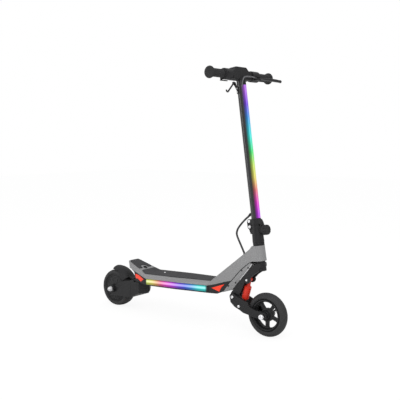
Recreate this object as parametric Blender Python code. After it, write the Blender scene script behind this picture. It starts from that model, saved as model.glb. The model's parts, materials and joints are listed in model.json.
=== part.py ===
"""Folding electric scooter with a sprung front wheel and a hub motor.

Metres, +X forward, +Y to the rider's left, +Z up. The origin is on the ground,
below the middle of the scooter. Side outlines are listed in millimetres.
"""

from math import atan2, cos, degrees, hypot, pi, radians, sin, sqrt

import bmesh
import bpy
import numpy as np
from mathutils import Matrix, Vector

MM = 0.001
GAP = 0.3 * MM

# Wheels
FRONT_AXLE = Vector((0.387, 0.0, 0.0825))
FRONT_TYRE_R = 0.0825
FRONT_TYRE_HALF = 0.020
FRONT_RIM_R = 0.0600
REAR_AXLE = Vector((-0.3895, 0.0, 0.0800))
REAR_TYRE_R = 0.0800
REAR_TYRE_HALF = 0.027
REAR_RIM_R = 0.0590
AXLE_R = 0.0050
REAR_AXLE_R = 0.0060
SPOKES = 5

# Deck: the top rises gently to the front, the tail kicks up behind it
DECK_SLOPE = 0.04
DECK_TOP_AT_ORIGIN = 178.1
DECK_DEPTH = 41.2
MAT_THICK = 3.0
KICK_X = -187.0
KICK_SLOPE = 0.355
WALL = 4.0
RAIL_DEPTH = 10.0
LIP_DEPTH = 20.0
LIGHT_HEIGHT = 23.0
LIGHT_X = (-178.5, 142.0)

# Half width of the frame seen from above: tail tip, tail root, deck, deck front, neck, head
PLAN_X = (-300.0, -190.0, -20.0, 148.0, 335.0, 380.0)
PLAN_HALF = (29.0, 53.0, 53.0, 42.0, 22.4, 21.8)

# Steering: the head tube leans back by this angle and meets the ground at this X
HEAD_ANGLE = radians(8.0)
STEER_FOOT_X = 0.393
STEER_LIMIT = radians(45.0)
STEERER_R = 0.0140
HEAD_BORE_R = 0.0165
HEAD_LOW = 0.2840
HEAD_HIGH = 0.3413
CROWN_R = 0.0190
CROWN_LOW = 0.2460

# Folding joint, in the steering frame: distance ahead of the axis and along it
FOLD_PIN = Vector((-0.0235, 0.0, 0.4130))
FOLD_SPLIT = 0.4200
FOLD_EAR_R = 0.0095
FOLD_LUG_HALF = 0.0080
FOLD_EAR_OUT = 0.0130
TONGUE_OUT_R = 49.3
TONGUE_IN_R = 46.4
KNOB_AXIS_T = 0.3975
KNOB_R = 0.0190
STUD_R = 0.0038
STEM_R = 0.0170
STEM_LOW = 0.4240
STEM_TOP = 0.9620
LENS_LOW = 0.4430
LENS_TOP = 0.9565
LENS_HALF_ANGLE = radians(57.0)

# Handlebar
BAR_T = 0.9745
BAR_R = 0.0111
BAR_HALF = 0.1900
GRIP_R = 0.0150
GRIP_FLANGE_R = 0.0220
GRIP_INNER = 0.1075
GRIP_END = 0.1920
COLLAR_R = 0.0205
LEVER_PIVOT = Vector((0.0210, 0.0800, 0.9640))
LEVER_TILT = radians(-6.0)
LEVER_THICK = 0.0070

# Front suspension, world side view
ARM_PIVOT = Vector((0.2473, 0.0, 0.1346))
SHOCK_TOP = Vector((0.3060, 0.0, 0.2050))
SHOCK_FOOT = Vector((0.2780, 0.0, 0.1032))
ARM_INNER = 0.0235
ARM_OUTER = 0.0310
FORK_INNER = 0.0135
FORK_OUTER = 0.0215
SHOCK_R = 0.0140

# Rear fork
REAR_ARM_INNER = 0.0295
REAR_ARM_OUTER = 0.0375
REAR_BOSS_OUTER = 0.0480
FENDER_R = 97.0

# Main cable: its route from the stem's back to the neck, side view
CABLE_R = 0.0037
CABLE_ROUTE = (
    (307.5, 451.5), (296.5, 441.2), (282.9, 429.6), (269.8, 416.8), (259.3, 405.0), (251.0, 394.0),
    (246.2, 383.6), (244.5, 374.6), (246.3, 365.5), (251.4, 354.3), (259.7, 339.2), (268.1, 323.8),
    (276.0, 309.2), (280.3, 301.3),
)
CABLE_SPACING = 0.013

STEER = Matrix.Translation((STEER_FOOT_X, 0.0, 0.0)) @ Matrix.Rotation(-HEAD_ANGLE, 4, "Y")
WORLD = Matrix.Identity(4)
SIDES = (("right", -1.0), ("left", 1.0))

GREY_PAINT = ((0.23, 0.23, 0.235), 0.45, 0.6)
BLACK_PAINT = ((0.022, 0.022, 0.024), 0.45, 0.3)
BLACK_PLASTIC = ((0.020, 0.020, 0.021), 0.55, 0.0)
RUBBER = ((0.016, 0.016, 0.017), 0.75, 0.0)
STEEL = ((0.62, 0.62, 0.63), 0.28, 1.0)
DARK_STEEL = ((0.10, 0.10, 0.105), 0.4, 0.9)
RED_PAINT = ((0.70, 0.055, 0.025), 0.4, 0.1)
RED_LENS = ((0.85, 0.06, 0.02), 0.2, 0.0)
LIGHT_LENS = ((0.80, 0.80, 0.86), 0.3, 0.0)
SCREEN = ((0.01, 0.012, 0.015), 0.1, 0.0)
BATTERY_WRAP = ((0.05, 0.12, 0.35), 0.4, 0.0)
COPPER = ((0.55, 0.25, 0.12), 0.35, 0.9)


def clear_scene():
    for old in list(bpy.data.objects):
        bpy.data.objects.remove(old, do_unlink=True)


def side(points):
    """Side outline in millimetres, as (x, z) pairs in metres."""
    return [(x * MM, z * MM) for x, z in points]


def arc(centre, radius, start, stop, steps):
    """Points in millimetres on an arc; angles in degrees, anticlockwise from ahead."""
    angles = np.radians(np.linspace(start, stop, steps + 1))
    return [(centre[0] + radius * cos(a), centre[1] + radius * sin(a)) for a in angles]


def mm_point(vector):
    return (vector.x / MM, vector.z / MM)


def deck_top(x):
    """Height of the frame's top face in millimetres."""
    if x < KICK_X:
        return deck_top(KICK_X) + KICK_SLOPE * (KICK_X - x)
    return DECK_TOP_AT_ORIGIN + DECK_SLOPE * x


def plan_half(x):
    """Half width of the frame, in metres, at x in metres."""
    return float(np.interp(x / MM, PLAN_X, PLAN_HALF)) * MM


def into_steering(points):
    """World side-view points turned into the steering frame."""
    turned = STEER.inverted()
    return [((turned @ Vector((x, 0.0, z))).x, (turned @ Vector((x, 0.0, z))).z) for x, z in points]


def prism(outline, low, high, normal="Y"):
    """Extrude a closed outline. Y: outline is (x, z). X: (y, z). Z: (x, y)."""
    place = {
        "Y": lambda a, b, c: (a, c, b),
        "X": lambda a, b, c: (c, a, b),
        "Z": lambda a, b, c: (a, b, c),
    }[normal]
    shape = bmesh.new()
    first = [shape.verts.new(place(a, b, low)) for a, b in outline]
    last = [shape.verts.new(place(a, b, high)) for a, b in outline]
    shape.faces.new(first)
    shape.faces.new(last)
    count = len(outline)
    for i in range(count):
        j = (i + 1) % count
        shape.faces.new((first[i], first[j], last[j], last[i]))
    return shape


def banded(outline, inset_inner, inset_outer, sign):
    """Slab along one flank of the frame, between two distances inside its plan outline."""
    slab = prism(outline, 0.0, 1.0)
    return follow_plan(slab, lambda x, z, y: sign * band_y(x, y, inset_inner, inset_outer))


def band_y(x, share, inset_inner, inset_outer):
    half = plan_half(x)
    inner = half - inset_inner
    outer = half - inset_outer
    return inner + (outer - inner) * share


def full_width(outline, inset=0.0):
    """Slab across the frame, its flanks following the plan outline less an inset."""
    return follow_plan(prism(outline, -1.0, 1.0), lambda x, z, y: y * (plan_half(x) - inset))


def follow_plan(shape, new_y):
    for x in PLAN_X:
        cut_all = shape.verts[:] + shape.edges[:] + shape.faces[:]
        bmesh.ops.bisect_plane(shape, geom=cut_all, plane_co=(x * MM, 0, 0), plane_no=(1, 0, 0))
    for v in shape.verts:
        v.co.y = new_y(v.co.x, v.co.z, v.co.y)
    return shape


def turned(profile, steps, direction="Z", centre=(0.0, 0.0, 0.0)):
    """Revolve a closed profile of (radius, height) points about an axis."""
    shape = bmesh.new()
    rings = []
    for radius, height in profile:
        if radius < 1e-7:
            rings.append([shape.verts.new((0.0, 0.0, height))] * steps)
            continue
        turns = [2.0 * pi * k / steps for k in range(steps)]
        rings.append([shape.verts.new((radius * cos(a), radius * sin(a), height)) for a in turns])
    pairs = len(rings)
    for i in range(pairs):
        upper, lower = rings[i], rings[(i + 1) % pairs]
        for k in range(steps):
            corners = [upper[k], upper[(k + 1) % steps], lower[(k + 1) % steps], lower[k]]
            unique = list(dict.fromkeys(corners))
            if len(unique) > 2:
                shape.faces.new(unique)
    turn = {
        "Z": WORLD,
        "Y": Matrix.Rotation(radians(-90.0), 4, "X"),
        "X": Matrix.Rotation(radians(90.0), 4, "Y"),
    }
    shape.transform(Matrix.Translation(centre) @ turn[direction])
    return shape


def rod(start, end, radius, steps=16):
    """Plain cylinder between two points."""
    start, end = Vector(start), Vector(end)
    axis = end - start
    shape = turned([(0.0, 0.0), (radius, 0.0), (radius, axis.length), (0.0, axis.length)], steps)
    shape.transform(Matrix.Translation(start) @ axis.to_track_quat("Z", "Y").to_matrix().to_4x4())
    return shape


def block(low, high):
    low, high = Vector(low), Vector(high)
    shape = bmesh.new()
    bmesh.ops.create_cube(shape, size=1.0)
    shape.transform(Matrix.Translation((low + high) / 2) @ Matrix.Diagonal((*(high - low), 1.0)))
    return shape


def finish_material(name, finish):
    colour, roughness, metallic = finish
    material = bpy.data.materials.new(name)
    material.use_nodes = True
    shader = material.node_tree.nodes["Principled BSDF"]
    shader.inputs["Base Color"].default_value = (*colour, 1.0)
    shader.inputs["Roughness"].default_value = roughness
    shader.inputs["Metallic"].default_value = metallic
    material.diffuse_color = (*colour, 1.0)
    return material


def add_object(name, shape, base):
    bmesh.ops.recalc_face_normals(shape, faces=shape.faces)
    if shape.calc_volume(signed=True) < 0.0:
        bmesh.ops.reverse_faces(shape, faces=shape.faces)
    mesh = bpy.data.meshes.new(name)
    shape.to_mesh(mesh)
    shape.free()
    mesh.shade_smooth()
    mesh.set_sharp_from_angle(angle=radians(32.0))
    thing = bpy.data.objects.new(name, mesh)
    bpy.context.collection.objects.link(thing)
    thing.matrix_world = base
    return thing


def hang(thing, carrier):
    thing.parent = carrier
    thing.matrix_parent_inverse = carrier.matrix_world.inverted()


def piece(name, shape, finish, carrier, base=WORLD):
    """One sub-part, on the empty that marks its joint."""
    thing = add_object(name, shape, base)
    thing.data.materials.append(finish_material(name, finish))
    hang(thing, carrier)
    return thing


def helper(name, shape, base=WORLD):
    """A hidden shape that is cut out of a sub-part or joined to it."""
    thing = add_object(name, shape, base)
    thing.hide_render = True
    thing.display_type = "WIRE"
    return thing


def combine(thing, operation, shape, base=WORLD):
    tool = helper(f"{thing.name}_{operation.lower()}_{len(thing.modifiers)}", shape, base)
    change = thing.modifiers.new(tool.name, "BOOLEAN")
    change.operation = operation
    change.solver = "EXACT"
    change.object = tool


def cut(thing, shape, base=WORLD):
    combine(thing, "DIFFERENCE", shape, base)


def join(thing, shape, base=WORLD):
    combine(thing, "UNION", shape, base)


def soften(thing, width, segments=2):
    bevel = thing.modifiers.new("softened edges", "BEVEL")
    bevel.width = width
    bevel.segments = segments
    bevel.limit_method = "ANGLE"
    bevel.angle_limit = radians(35.0)
    bevel.harden_normals = False


def empty(name, place, carrier=None):
    mark = bpy.data.objects.new(name, None)
    mark.empty_display_size = 0.03
    bpy.context.collection.objects.link(mark)
    mark.matrix_world = place
    bpy.context.view_layer.update()
    if carrier:
        hang(mark, carrier)
    return mark


def at(point):
    return Matrix.Translation(point)


def lever_seat():
    return STEER @ at(LEVER_PIVOT) @ Matrix.Rotation(LEVER_TILT, 4, "X")


def joint_marks():
    """One empty on each joint's axis, each carried by the body that it turns on."""
    marks = {}
    marks["frame"] = empty("frame_origin", WORLD)
    marks["steering"] = empty("steering_axis", STEER, marks["frame"])
    marks["arm"] = empty("arm_axis", at(ARM_PIVOT), marks["steering"])
    marks["front_wheel"] = empty("front_wheel_axis", at(FRONT_AXLE), marks["arm"])
    marks["shock"] = empty("shock_axis", at(SHOCK_TOP), marks["steering"])
    marks["shock_rod"] = empty("shock_rod_axis", at(SHOCK_FOOT), marks["shock"])
    marks["rear_wheel"] = empty("rear_wheel_axis", at(REAR_AXLE), marks["frame"])
    marks["stem"] = empty("fold_axis", STEER @ at(FOLD_PIN), marks["steering"])
    marks["knob"] = empty("knob_axis", STEER @ at((0.0, 0.0, KNOB_AXIS_T)), marks["steering"])
    marks["brake"] = empty("brake_lever_axis", lever_seat(), marks["stem"])
    marks["throttle"] = empty("throttle_axis", STEER @ at((0.0, 0.0, BAR_T)), marks["stem"])
    marks["button"] = empty("power_button_axis", STEER @ at(BUTTON_SEAT), marks["stem"])
    marks["hook"] = empty("hook_axis", STEER @ at(HOOK_PIVOT), marks["stem"])
    return marks


# Side outlines of the frame, millimetres

NECK_TOP = [(148.0, deck_top(148.0)), (185.0, 214.5), (299.5, 308.4), (317.0, 323.5), (324.0, 334.6)]
NECK_FRONT = [(346.4, 336.9), (354.0, 281.4)]
NECK_EDGE = 5.0
GROOVE = [(229.0, 180.7), (238.0, 191.4), (281.0, 240.3), (318.0, 273.0)]


def below_top(x, depth):
    return (x, deck_top(x) - depth)


def frame_outline():
    tail = [(-300.0, deck_top(-300.0)), (-292.0, 172.0), (-215.0, 137.0)]
    bottom = [below_top(-178.0, DECK_DEPTH), below_top(142.0, DECK_DEPTH), (181.0, 142.0)]
    front = [(203.0, 149.5)] + GROOVE + [(331.2, 278.3)] + NECK_FRONT[::-1]
    top = NECK_TOP[::-1] + [(KICK_X, deck_top(KICK_X))]
    return side(tail + bottom + front + top)


def build_frame(marks):
    carrier = marks["frame"]
    shape = prism(frame_outline(), -1.0, 1.0)
    score_neck_edge(shape)
    shell = piece("frame_shell", follow_plan(shape, neck_flank), GREY_PAINT, carrier)
    tube = turned([(0.0, HEAD_LOW), (0.0232, HEAD_LOW), (0.0217, HEAD_HIGH), (0.0, HEAD_HIGH)], 28)
    join(shell, tube, STEER)
    rail_space = side([
        (-400.0, 207.5), (-178.5, deck_top(-178.5) - LIP_DEPTH + 0.7), (135.0, 164.8), (171.7, 174.7),
        (216.0, 189.2), (243.5, 196.3), (229.6, 180.9), (203.0, 148.6), (181.0, 100.0), (-400.0, 100.0),
    ])
    for _, sign in SIDES:
        cut(shell, banded(rail_space, (RAIL_DEPTH + 0.3) * MM, -20.0 * MM, sign))
    cut(shell, deck_hollow())
    cut(shell, neck_hollow())
    cut(shell, rod((0, 0, HEAD_LOW - 0.02), (0, 0, HEAD_HIGH + 0.02), HEAD_BORE_R, 24), STEER)
    cut(shell, rod((0.2905, 0, 0.2832), (0.2769, 0, 0.3073), CABLE_R + 0.0012, 12))
    cut(shell, hook_socket_hole())
    return shell


def above_neck_edge(x, z):
    """Height above a line just below the neck's top edge, square to it, in metres."""
    (x0, z0), (x1, z1) = NECK_TOP[1], NECK_TOP[2]
    run, rise = (x1 - x0), (z1 - z0)
    length = hypot(run, rise)
    return ((z / MM - z0) * run - (x / MM - x0) * rise) / length * MM + NECK_EDGE * MM


def score_neck_edge(shape):
    (x0, z0), (x1, z1) = NECK_TOP[1], NECK_TOP[2]
    normal = Vector((z0 - z1, 0.0, x1 - x0)).normalized()
    cut_all = shape.verts[:] + shape.edges[:] + shape.faces[:]
    start = Vector((x0 * MM, 0.0, z0 * MM)) - normal * NECK_EDGE * MM
    bmesh.ops.bisect_plane(shape, geom=cut_all, plane_co=start, plane_no=normal)


def neck_flank(x, z, share):
    """The flank follows the plan, and leans in along the neck's top edge."""
    lean = 0.0
    if x > NECK_TOP[0][0] * MM:
        lean = min(max(above_neck_edge(x, z), 0.0), NECK_EDGE * MM)
    return share * (plan_half(x) - lean)


def deck_hollow():
    """Space for the battery, open downwards."""
    x_low, x_high = -168.0, 140.0
    outline = side([
        below_top(x_low, WALL), below_top(x_high, WALL), (x_high, 120.0), (x_low, 120.0),
    ])
    return full_width(outline, (RAIL_DEPTH + 0.3 + WALL) * MM)


def neck_hollow():
    """The neck is a channel, closed from below by its cover."""
    outline = side([
        (156.0, 178.0), (190.0, 209.0), (303.0, 302.0), (326.0, 318.0),
        (330.0, 280.0), (316.0, 262.0), (240.0, 175.0), (196.0, 120.0), (156.0, 120.0),
    ])
    return full_width(outline, (RAIL_DEPTH + 0.3 + WALL) * MM)


HOOK_HOLE = (-231.0, 0.0)
HOOK_HOLE_R = 0.0080


def kick_normal():
    return Vector((KICK_SLOPE, 0.0, 1.0)).normalized()


def hook_socket_hole():
    seat = Vector((HOOK_HOLE[0] * MM, HOOK_HOLE[1] * MM, deck_top(HOOK_HOLE[0]) * MM))
    return rod(seat - kick_normal() * 0.014, seat + kick_normal() * 0.010, HOOK_HOLE_R, 20)


COVER_TOP = [(229.8, 179.9), (238.7, 190.8), (281.6, 239.7), (317.5, 271.3), (331.5, 269.5)]
COVER_BELOW = [(307.6, 238.7), (275.9, 202.2), (243.6, 163.2), (240.0, 158.3), (203.0, 146.5)]
COVER_DEPTH = 17.0 * MM


def cover_flank(x, z, share=1.0):
    """The cover's flank leans in from the groove down to the fork's plates."""
    (x0, z0), (x1, z1) = COVER_TOP[0], COVER_TOP[3]
    run, rise = x1 - x0, z1 - z0
    depth = ((x / MM - x0) * rise - (z / MM - z0) * run) / hypot(run, rise) * MM
    lean = min(max(depth / COVER_DEPTH, 0.0), 1.0)
    half = plan_half(x) - 0.2 * MM
    return share * (half + (FORK_OUTER + 1.0 * MM - half) * lean)


def build_neck_cover(marks):
    outer = side([(204.5, 148.0)] + COVER_TOP + COVER_BELOW)
    body = follow_plan(prism(outer, -1.0, 1.0), cover_flank)
    cover = piece("neck_cover", body, GREY_PAINT, marks["frame"])
    inner = side([
        (209.0, 158.0), (235.0, 170.5), (269.0, 211.5), (294.0, 244.0), (313.0, 265.0),
        (300.0, 290.0), (190.0, 190.0),
    ])
    cut(cover, full_width(inner, (RAIL_DEPTH + 0.3 + WALL) * MM))
    cut(cover, fork_sweep(), STEER)
    return cover


# Rear edge of the fork's plates, from the crown down
FORK_BACK = [(344.0, 271.0), (337.4, 265.8), (308.6, 237.7), (277.0, 201.2), (244.7, 162.2), (232.6, 146.0)]


def fork_sweep():
    """Room that the fork's plates need as they steer, as a body turned about the steering axis."""
    clearance = 0.0009
    edge = [(hypot(x, FORK_OUTER) + clearance, t + clearance) for x, t in into_steering(side(FORK_BACK))]
    widest, lowest = edge[-1]
    return turned([(0.0, edge[0][1])] + edge + [(widest, lowest - 0.02), (0.0, lowest - 0.02)], 48)


def build_belly_plate(marks):
    top, bottom = DECK_DEPTH + 0.3, DECK_DEPTH + 2.8
    rear, front = -176.0, 141.0
    outline = side([
        below_top(rear, top), below_top(front, top), below_top(front, bottom), below_top(rear, bottom),
    ])
    plate = full_width(outline, (RAIL_DEPTH + 0.4) * MM)
    return piece("belly_plate", plate, BLACK_PAINT, marks["frame"])


def mat_plan(points):
    """Both edges of a mat from its right-hand half outline of (x, half width)."""
    left = [(x, half) for x, half in points]
    right = [(x, -half) for x, half in reversed(points)]
    return [(x * MM, y * MM) for x, y in left + right]


def sit_on_deck(shape, thickness):
    """Bend a flat slab on to the frame's top: 0 is the underside, 1 the top."""
    cut_all = shape.verts[:] + shape.edges[:] + shape.faces[:]
    bmesh.ops.bisect_plane(shape, geom=cut_all, plane_co=(KICK_X * MM, 0, 0), plane_no=(1, 0, 0))
    for v in shape.verts:
        rise = GAP / MM + v.co.z * thickness
        v.co.z = (deck_top(v.co.x / MM) + rise) * MM
    return shape


def build_mats(marks):
    main = [
        (146.0, 32.0), (140.0, 38.0), (-20.0, 49.5), (-170.0, 49.5), (-196.0, 45.0), (-211.0, 40.0),
        (-213.0, 37.0),
    ]
    tail = [(-229.5, 35.0), (-231.5, 37.0), (-240.0, 36.5), (-290.0, 27.0), (-297.0, 23.0)]
    seat = Vector((HOOK_HOLE[0] * MM, HOOK_HOLE[1] * MM, deck_top(HOOK_HOLE[0]) * MM))
    for name, outline in (("deck_mat", main), ("tail_mat", tail)):
        slab = sit_on_deck(prism(mat_plan(outline), 0, 1, "Z"), MAT_THICK)
        mat = piece(name, slab, RUBBER, marks["frame"])
        cut(mat, rod(seat - kick_normal() * 0.02, seat + kick_normal() * 0.02, 0.0185, 24))


RAIL_OUTLINE = [
    (-262.0, 172.0), (-178.5, deck_top(-178.5) - LIP_DEPTH), (135.0, 164.2), (171.7, 174.0), (216.0, 188.5),
    (241.6, 195.0), (228.6, 179.8), (203.0, 148.3), (181.0, 138.6), (141.0, 136.6), (-173.0, 124.5),
    (-217.0, 128.5), (-250.0, 141.0),
]
REFLECTOR_FRONT = [(155.0, 158.5), (213.5, 179.5), (200.5, 166.0), (190.5, 148.0)]
REFLECTOR_REAR = [
    (-252.0, 161.5), (-226.0, 160.0), (-192.0, 147.5), (-211.0, 134.5), (-235.0, 144.5), (-247.0, 142.5),
]


def build_rails(marks):
    """On each side: a black rail, its light bar and two reflectors let into it."""
    carrier = marks["frame"]
    top, bottom = LIP_DEPTH + 0.4, LIP_DEPTH + LIGHT_HEIGHT
    light = side([
        below_top(LIGHT_X[0], top), below_top(LIGHT_X[1], top - 1.6),
        below_top(LIGHT_X[1], bottom), below_top(LIGHT_X[0], bottom),
    ])
    for label, sign in SIDES:
        skirt = banded(side(RAIL_OUTLINE), RAIL_DEPTH * MM, -0.6 * MM, sign)
        rail = piece(f"side_rail_{label}", skirt, BLACK_PLASTIC, carrier)
        cut(rail, banded(side(grown(light)), 5.3 * MM, -5.0 * MM, sign))
        for spot, outline in (("front", REFLECTOR_FRONT), ("rear", REFLECTOR_REAR)):
            cut(rail, banded(side(spread(outline, 0.35)), 2.7 * MM, -5.0 * MM, sign))
            lens = banded(side(outline), 2.4 * MM, -1.4 * MM, sign)
            piece(f"reflector_{spot}_{label}", lens, RED_LENS, carrier)
        bar = piece(f"light_bar_{label}", banded(light, 5.0 * MM, -1.6 * MM, sign), LIGHT_LENS, carrier)
        soften(bar, 1.6 * MM, 2)


def grown(outline):
    """The light bar's own outline, in millimetres, with a seat gap all round."""
    return spread([(x / MM, z / MM) for x, z in outline], 0.35)


def spread(outline, distance):
    """Move each corner of a convex-ish outline away from the outline's middle line."""
    points = [Vector(p) for p in outline]
    count = len(points)
    following = points[1:] + points[:1]
    area = sum(here.x * after.y - after.x * here.y for here, after in zip(points, following))
    turn = 1.0 if area > 0 else -1.0
    moved = []
    for i, here in enumerate(points):
        before = (here - points[i - 1]).normalized()
        after = (points[(i + 1) % count] - here).normalized()
        normal_before = Vector((before.y, -before.x)) * turn
        normal_after = Vector((after.y, -after.x)) * turn
        middle = (normal_before + normal_after).normalized()
        reach = distance / max(0.35, middle.dot(normal_after))
        moved.append(tuple(here + middle * reach))
    return moved


def build_inner_frame_parts(marks):
    carrier = marks["frame"]
    battery = side([below_top(-160, 6), below_top(66, 6), below_top(66, 38), below_top(-160, 38)])
    piece("battery_pack", full_width(battery, 17.0 * MM), BATTERY_WRAP, carrier)
    box = side([below_top(76, 8), below_top(134, 8), below_top(134, 36), below_top(76, 36)])
    piece("motor_controller", full_width(box, 18.0 * MM), DARK_STEEL, carrier)
    for label, spot in (("upper", (314.0, 252.9)), ("lower", (258.2, 189.3))):
        build_neck_screw(label, Vector((spot[0] * MM, 0.0, spot[1] * MM)), carrier)
    profile = [
        (0.0, -0.0100), (0.0060, -0.0100), (0.0060, 0.0005), (0.0085, 0.0005), (0.0085, 0.0020),
        (0.0070, 0.0030), (0.0, 0.0030),
    ]
    port = turned(profile, 16, "Y")
    seat = at((0.165, plan_half(0.165), 0.1870)) @ Matrix.Rotation(radians(-5.8), 4, "Z")
    port.transform(seat)
    piece("charge_port", port, BLACK_PLASTIC, carrier)
    cut(bpy.data.objects["frame_shell"], rod((0, -0.02, 0), (0, 0.02, 0), 0.0064, 16), seat)
    ring = [
        (STEERER_R + GAP, HEAD_HIGH + GAP), (0.0212, HEAD_HIGH + GAP), (0.0218, HEAD_HIGH + 0.0035),
        (0.0208, HEAD_HIGH + 0.0045), (0.0208, HEAD_HIGH + 0.0055), (0.0218, HEAD_HIGH + 0.0065),
        (0.0210, HEAD_HIGH + 0.0115), (STEERER_R + GAP, HEAD_HIGH + 0.0115),
    ]
    piece("headset_cup", turned(ring, 28), BLACK_PAINT, carrier, STEER)


def build_neck_screw(label, spot, carrier):
    """Through screw with a head sunk in each flank of the neck cover."""
    shank_r, head_r, thick = 0.0016, 0.0030, 0.0018
    seat = cover_flank(spot.x, spot.z) - 0.0010
    half = [
        (shank_r, seat + GAP), (head_r, seat + GAP), (head_r, seat + thick),
        (head_r - 0.0006, seat + thick + 0.0005), (0.0, seat + thick + 0.0005),
    ]
    profile = [(r, -y) for r, y in reversed(half)] + half
    piece(f"neck_screw_{label}", turned(profile, 12, "Y", spot), DARK_STEEL, carrier)
    cover = bpy.data.objects["neck_cover"]
    across = Vector((0.0, 1.0, 0.0))
    cut(cover, rod(spot - across * 0.06, spot + across * 0.06, shank_r + 0.0005, 12))
    for _, sign in SIDES:
        cut(cover, rod(spot + across * sign * seat, spot + across * sign * 0.06, head_r + 0.0004, 16))


def build_rear_fork(marks):
    """Black casting under the deck's end: a box with an arm each side of the wheel."""
    carrier = marks["frame"]
    box = side([
        (-208.0, 130.5), (-207.0, 110.0), (-204.5, 91.0), (-213.0, 77.5), (-288.0, 52.0),
        (-298.0, 62.0), (-298.0, 120.0), (-288.0, 128.0), (-236.0, 137.0), (-214.0, 133.8),
    ])
    fork = piece("rear_fork", swept_back(prism(box, -REAR_ARM_OUTER, REAR_ARM_OUTER)), BLACK_PAINT, carrier)
    axle = mm_point(REAR_AXLE)
    arm = [(-286.0, 127.0), (-340.0, 116.0), (-364.0, 103.5)] + arc(axle, 17.0, 62.0, 218.0, 8)
    arm += [(-399.0, 59.0), (-388.0, 51.0), (-286.0, 52.7)]
    boss = arc(axle, 16.2, 0.0, 360.0, 24)[:-1]
    for _, sign in SIDES:
        low, high = sorted((sign * REAR_ARM_INNER, sign * (REAR_ARM_OUTER + 0.5 * MM)))
        join(fork, prism(side(arm), low, high))
        low, high = sorted((sign * (REAR_ARM_OUTER - 0.002), sign * REAR_BOSS_OUTER))
        join(fork, prism(side(boss), low, high))
    for _, sign in SIDES:
        inner, outer = sorted((sign * 0.0318, sign * 0.0500))
        cut(fork, block((-0.2645, inner, 0.1240), (-0.165, outer, 0.150)))
    reach = Vector((0.0, REAR_BOSS_OUTER + 0.002, 0.0))
    cut(fork, rod(REAR_AXLE - reach, REAR_AXLE + reach, REAR_AXLE_R + GAP, 20))


def swept_back(shape):
    """Sweep the nose of the rear fork's box back towards its sides, as a wedge seen from above."""
    root, tip, sweep_each_mm = -0.262, -0.205, 0.80
    cut_all = shape.verts[:] + shape.edges[:] + shape.faces[:]
    bmesh.ops.bisect_plane(shape, geom=cut_all, plane_co=(0, 0, 0), plane_no=(0, 1, 0))
    for v in shape.verts:
        share = min(max((v.co.x - root) / (tip - root), 0.0), 1.0)
        v.co.x -= share * sweep_each_mm * abs(v.co.y)
    bmesh.ops.triangulate(shape, faces=shape.faces[:])
    return shape


# Half section of the fender: distance from the middle and from the axle, outside and inside
FENDER_OUTSIDE = [(0.0, FENDER_R), (12.0, 95.7), (22.0, 92.0), (28.5, 87.5), (31.8, 83.0), (31.8, 58.0)]
FENDER_INSIDE = [(0.0, 94.4), (11.5, 93.2), (21.0, 89.7), (26.8, 85.6), (29.2, 82.0), (29.2, 58.0)]


def build_fender(marks):
    """Arched shell over the wheel, its skirts deep at the front and cut short behind."""
    start, stop, steps = 94.0, 36.0, 9
    section = [(-y, r) for y, r in FENDER_OUTSIDE[:0:-1]] + FENDER_OUTSIDE
    section += FENDER_INSIDE[:0:-1] + [(-y, r) for y, r in FENDER_INSIDE]
    shape = bmesh.new()
    rings = []
    for a in np.radians(np.linspace(start, stop, steps + 1)):
        rings.append([
            shape.verts.new((REAR_AXLE.x + r * cos(a) * MM, y * MM, REAR_AXLE.z + r * sin(a) * MM))
            for y, r in section
        ])
    count = len(section)
    for ring, after in zip(rings, rings[1:]):
        for k in range(count):
            j = (k + 1) % count
            shape.faces.new((ring[k], ring[j], after[j], after[k]))
    shape.faces.new(rings[0])
    shape.faces.new(rings[-1])
    fender = piece("fender", shape, BLACK_PLASTIC, marks["frame"])
    skirt_edge = [
        (-300.0, 125.1), (-338.0, 117.6), (-352.0, 127.0), (-360.0, 152.0), (-372.0, 163.0),
        (-400.0, 164.0),
    ]
    below = side(skirt_edge + [(-400.0, 60.0), (-300.0, 60.0)])
    cut(fender, prism(below, -0.05, 0.05))
    foot = side([
        (-317.0, 137.0), (-313.0, 139.0), (-305.0, 133.0), (-290.0, 131.0), (-290.0, 128.8),
        (-307.0, 129.0),
    ])
    join(fender, prism(foot, -0.0140, 0.0140))


def nut(radius, reach, start, sign, bore):
    """Domed nut with a washer, on an axle across the scooter."""
    profile = [
        (bore, start), (radius * 1.28, start), (radius * 1.28, start + 0.0016), (radius, start + 0.0016),
        (radius, start + reach * 0.62), (radius * 0.8, start + reach * 0.86), (bore, start + reach * 0.9),
    ]
    shape = turned(profile, 18, "Y")
    if sign < 0:
        shape.transform(Matrix.Diagonal((1.0, -1.0, 1.0, 1.0)))
    return shape


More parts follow.
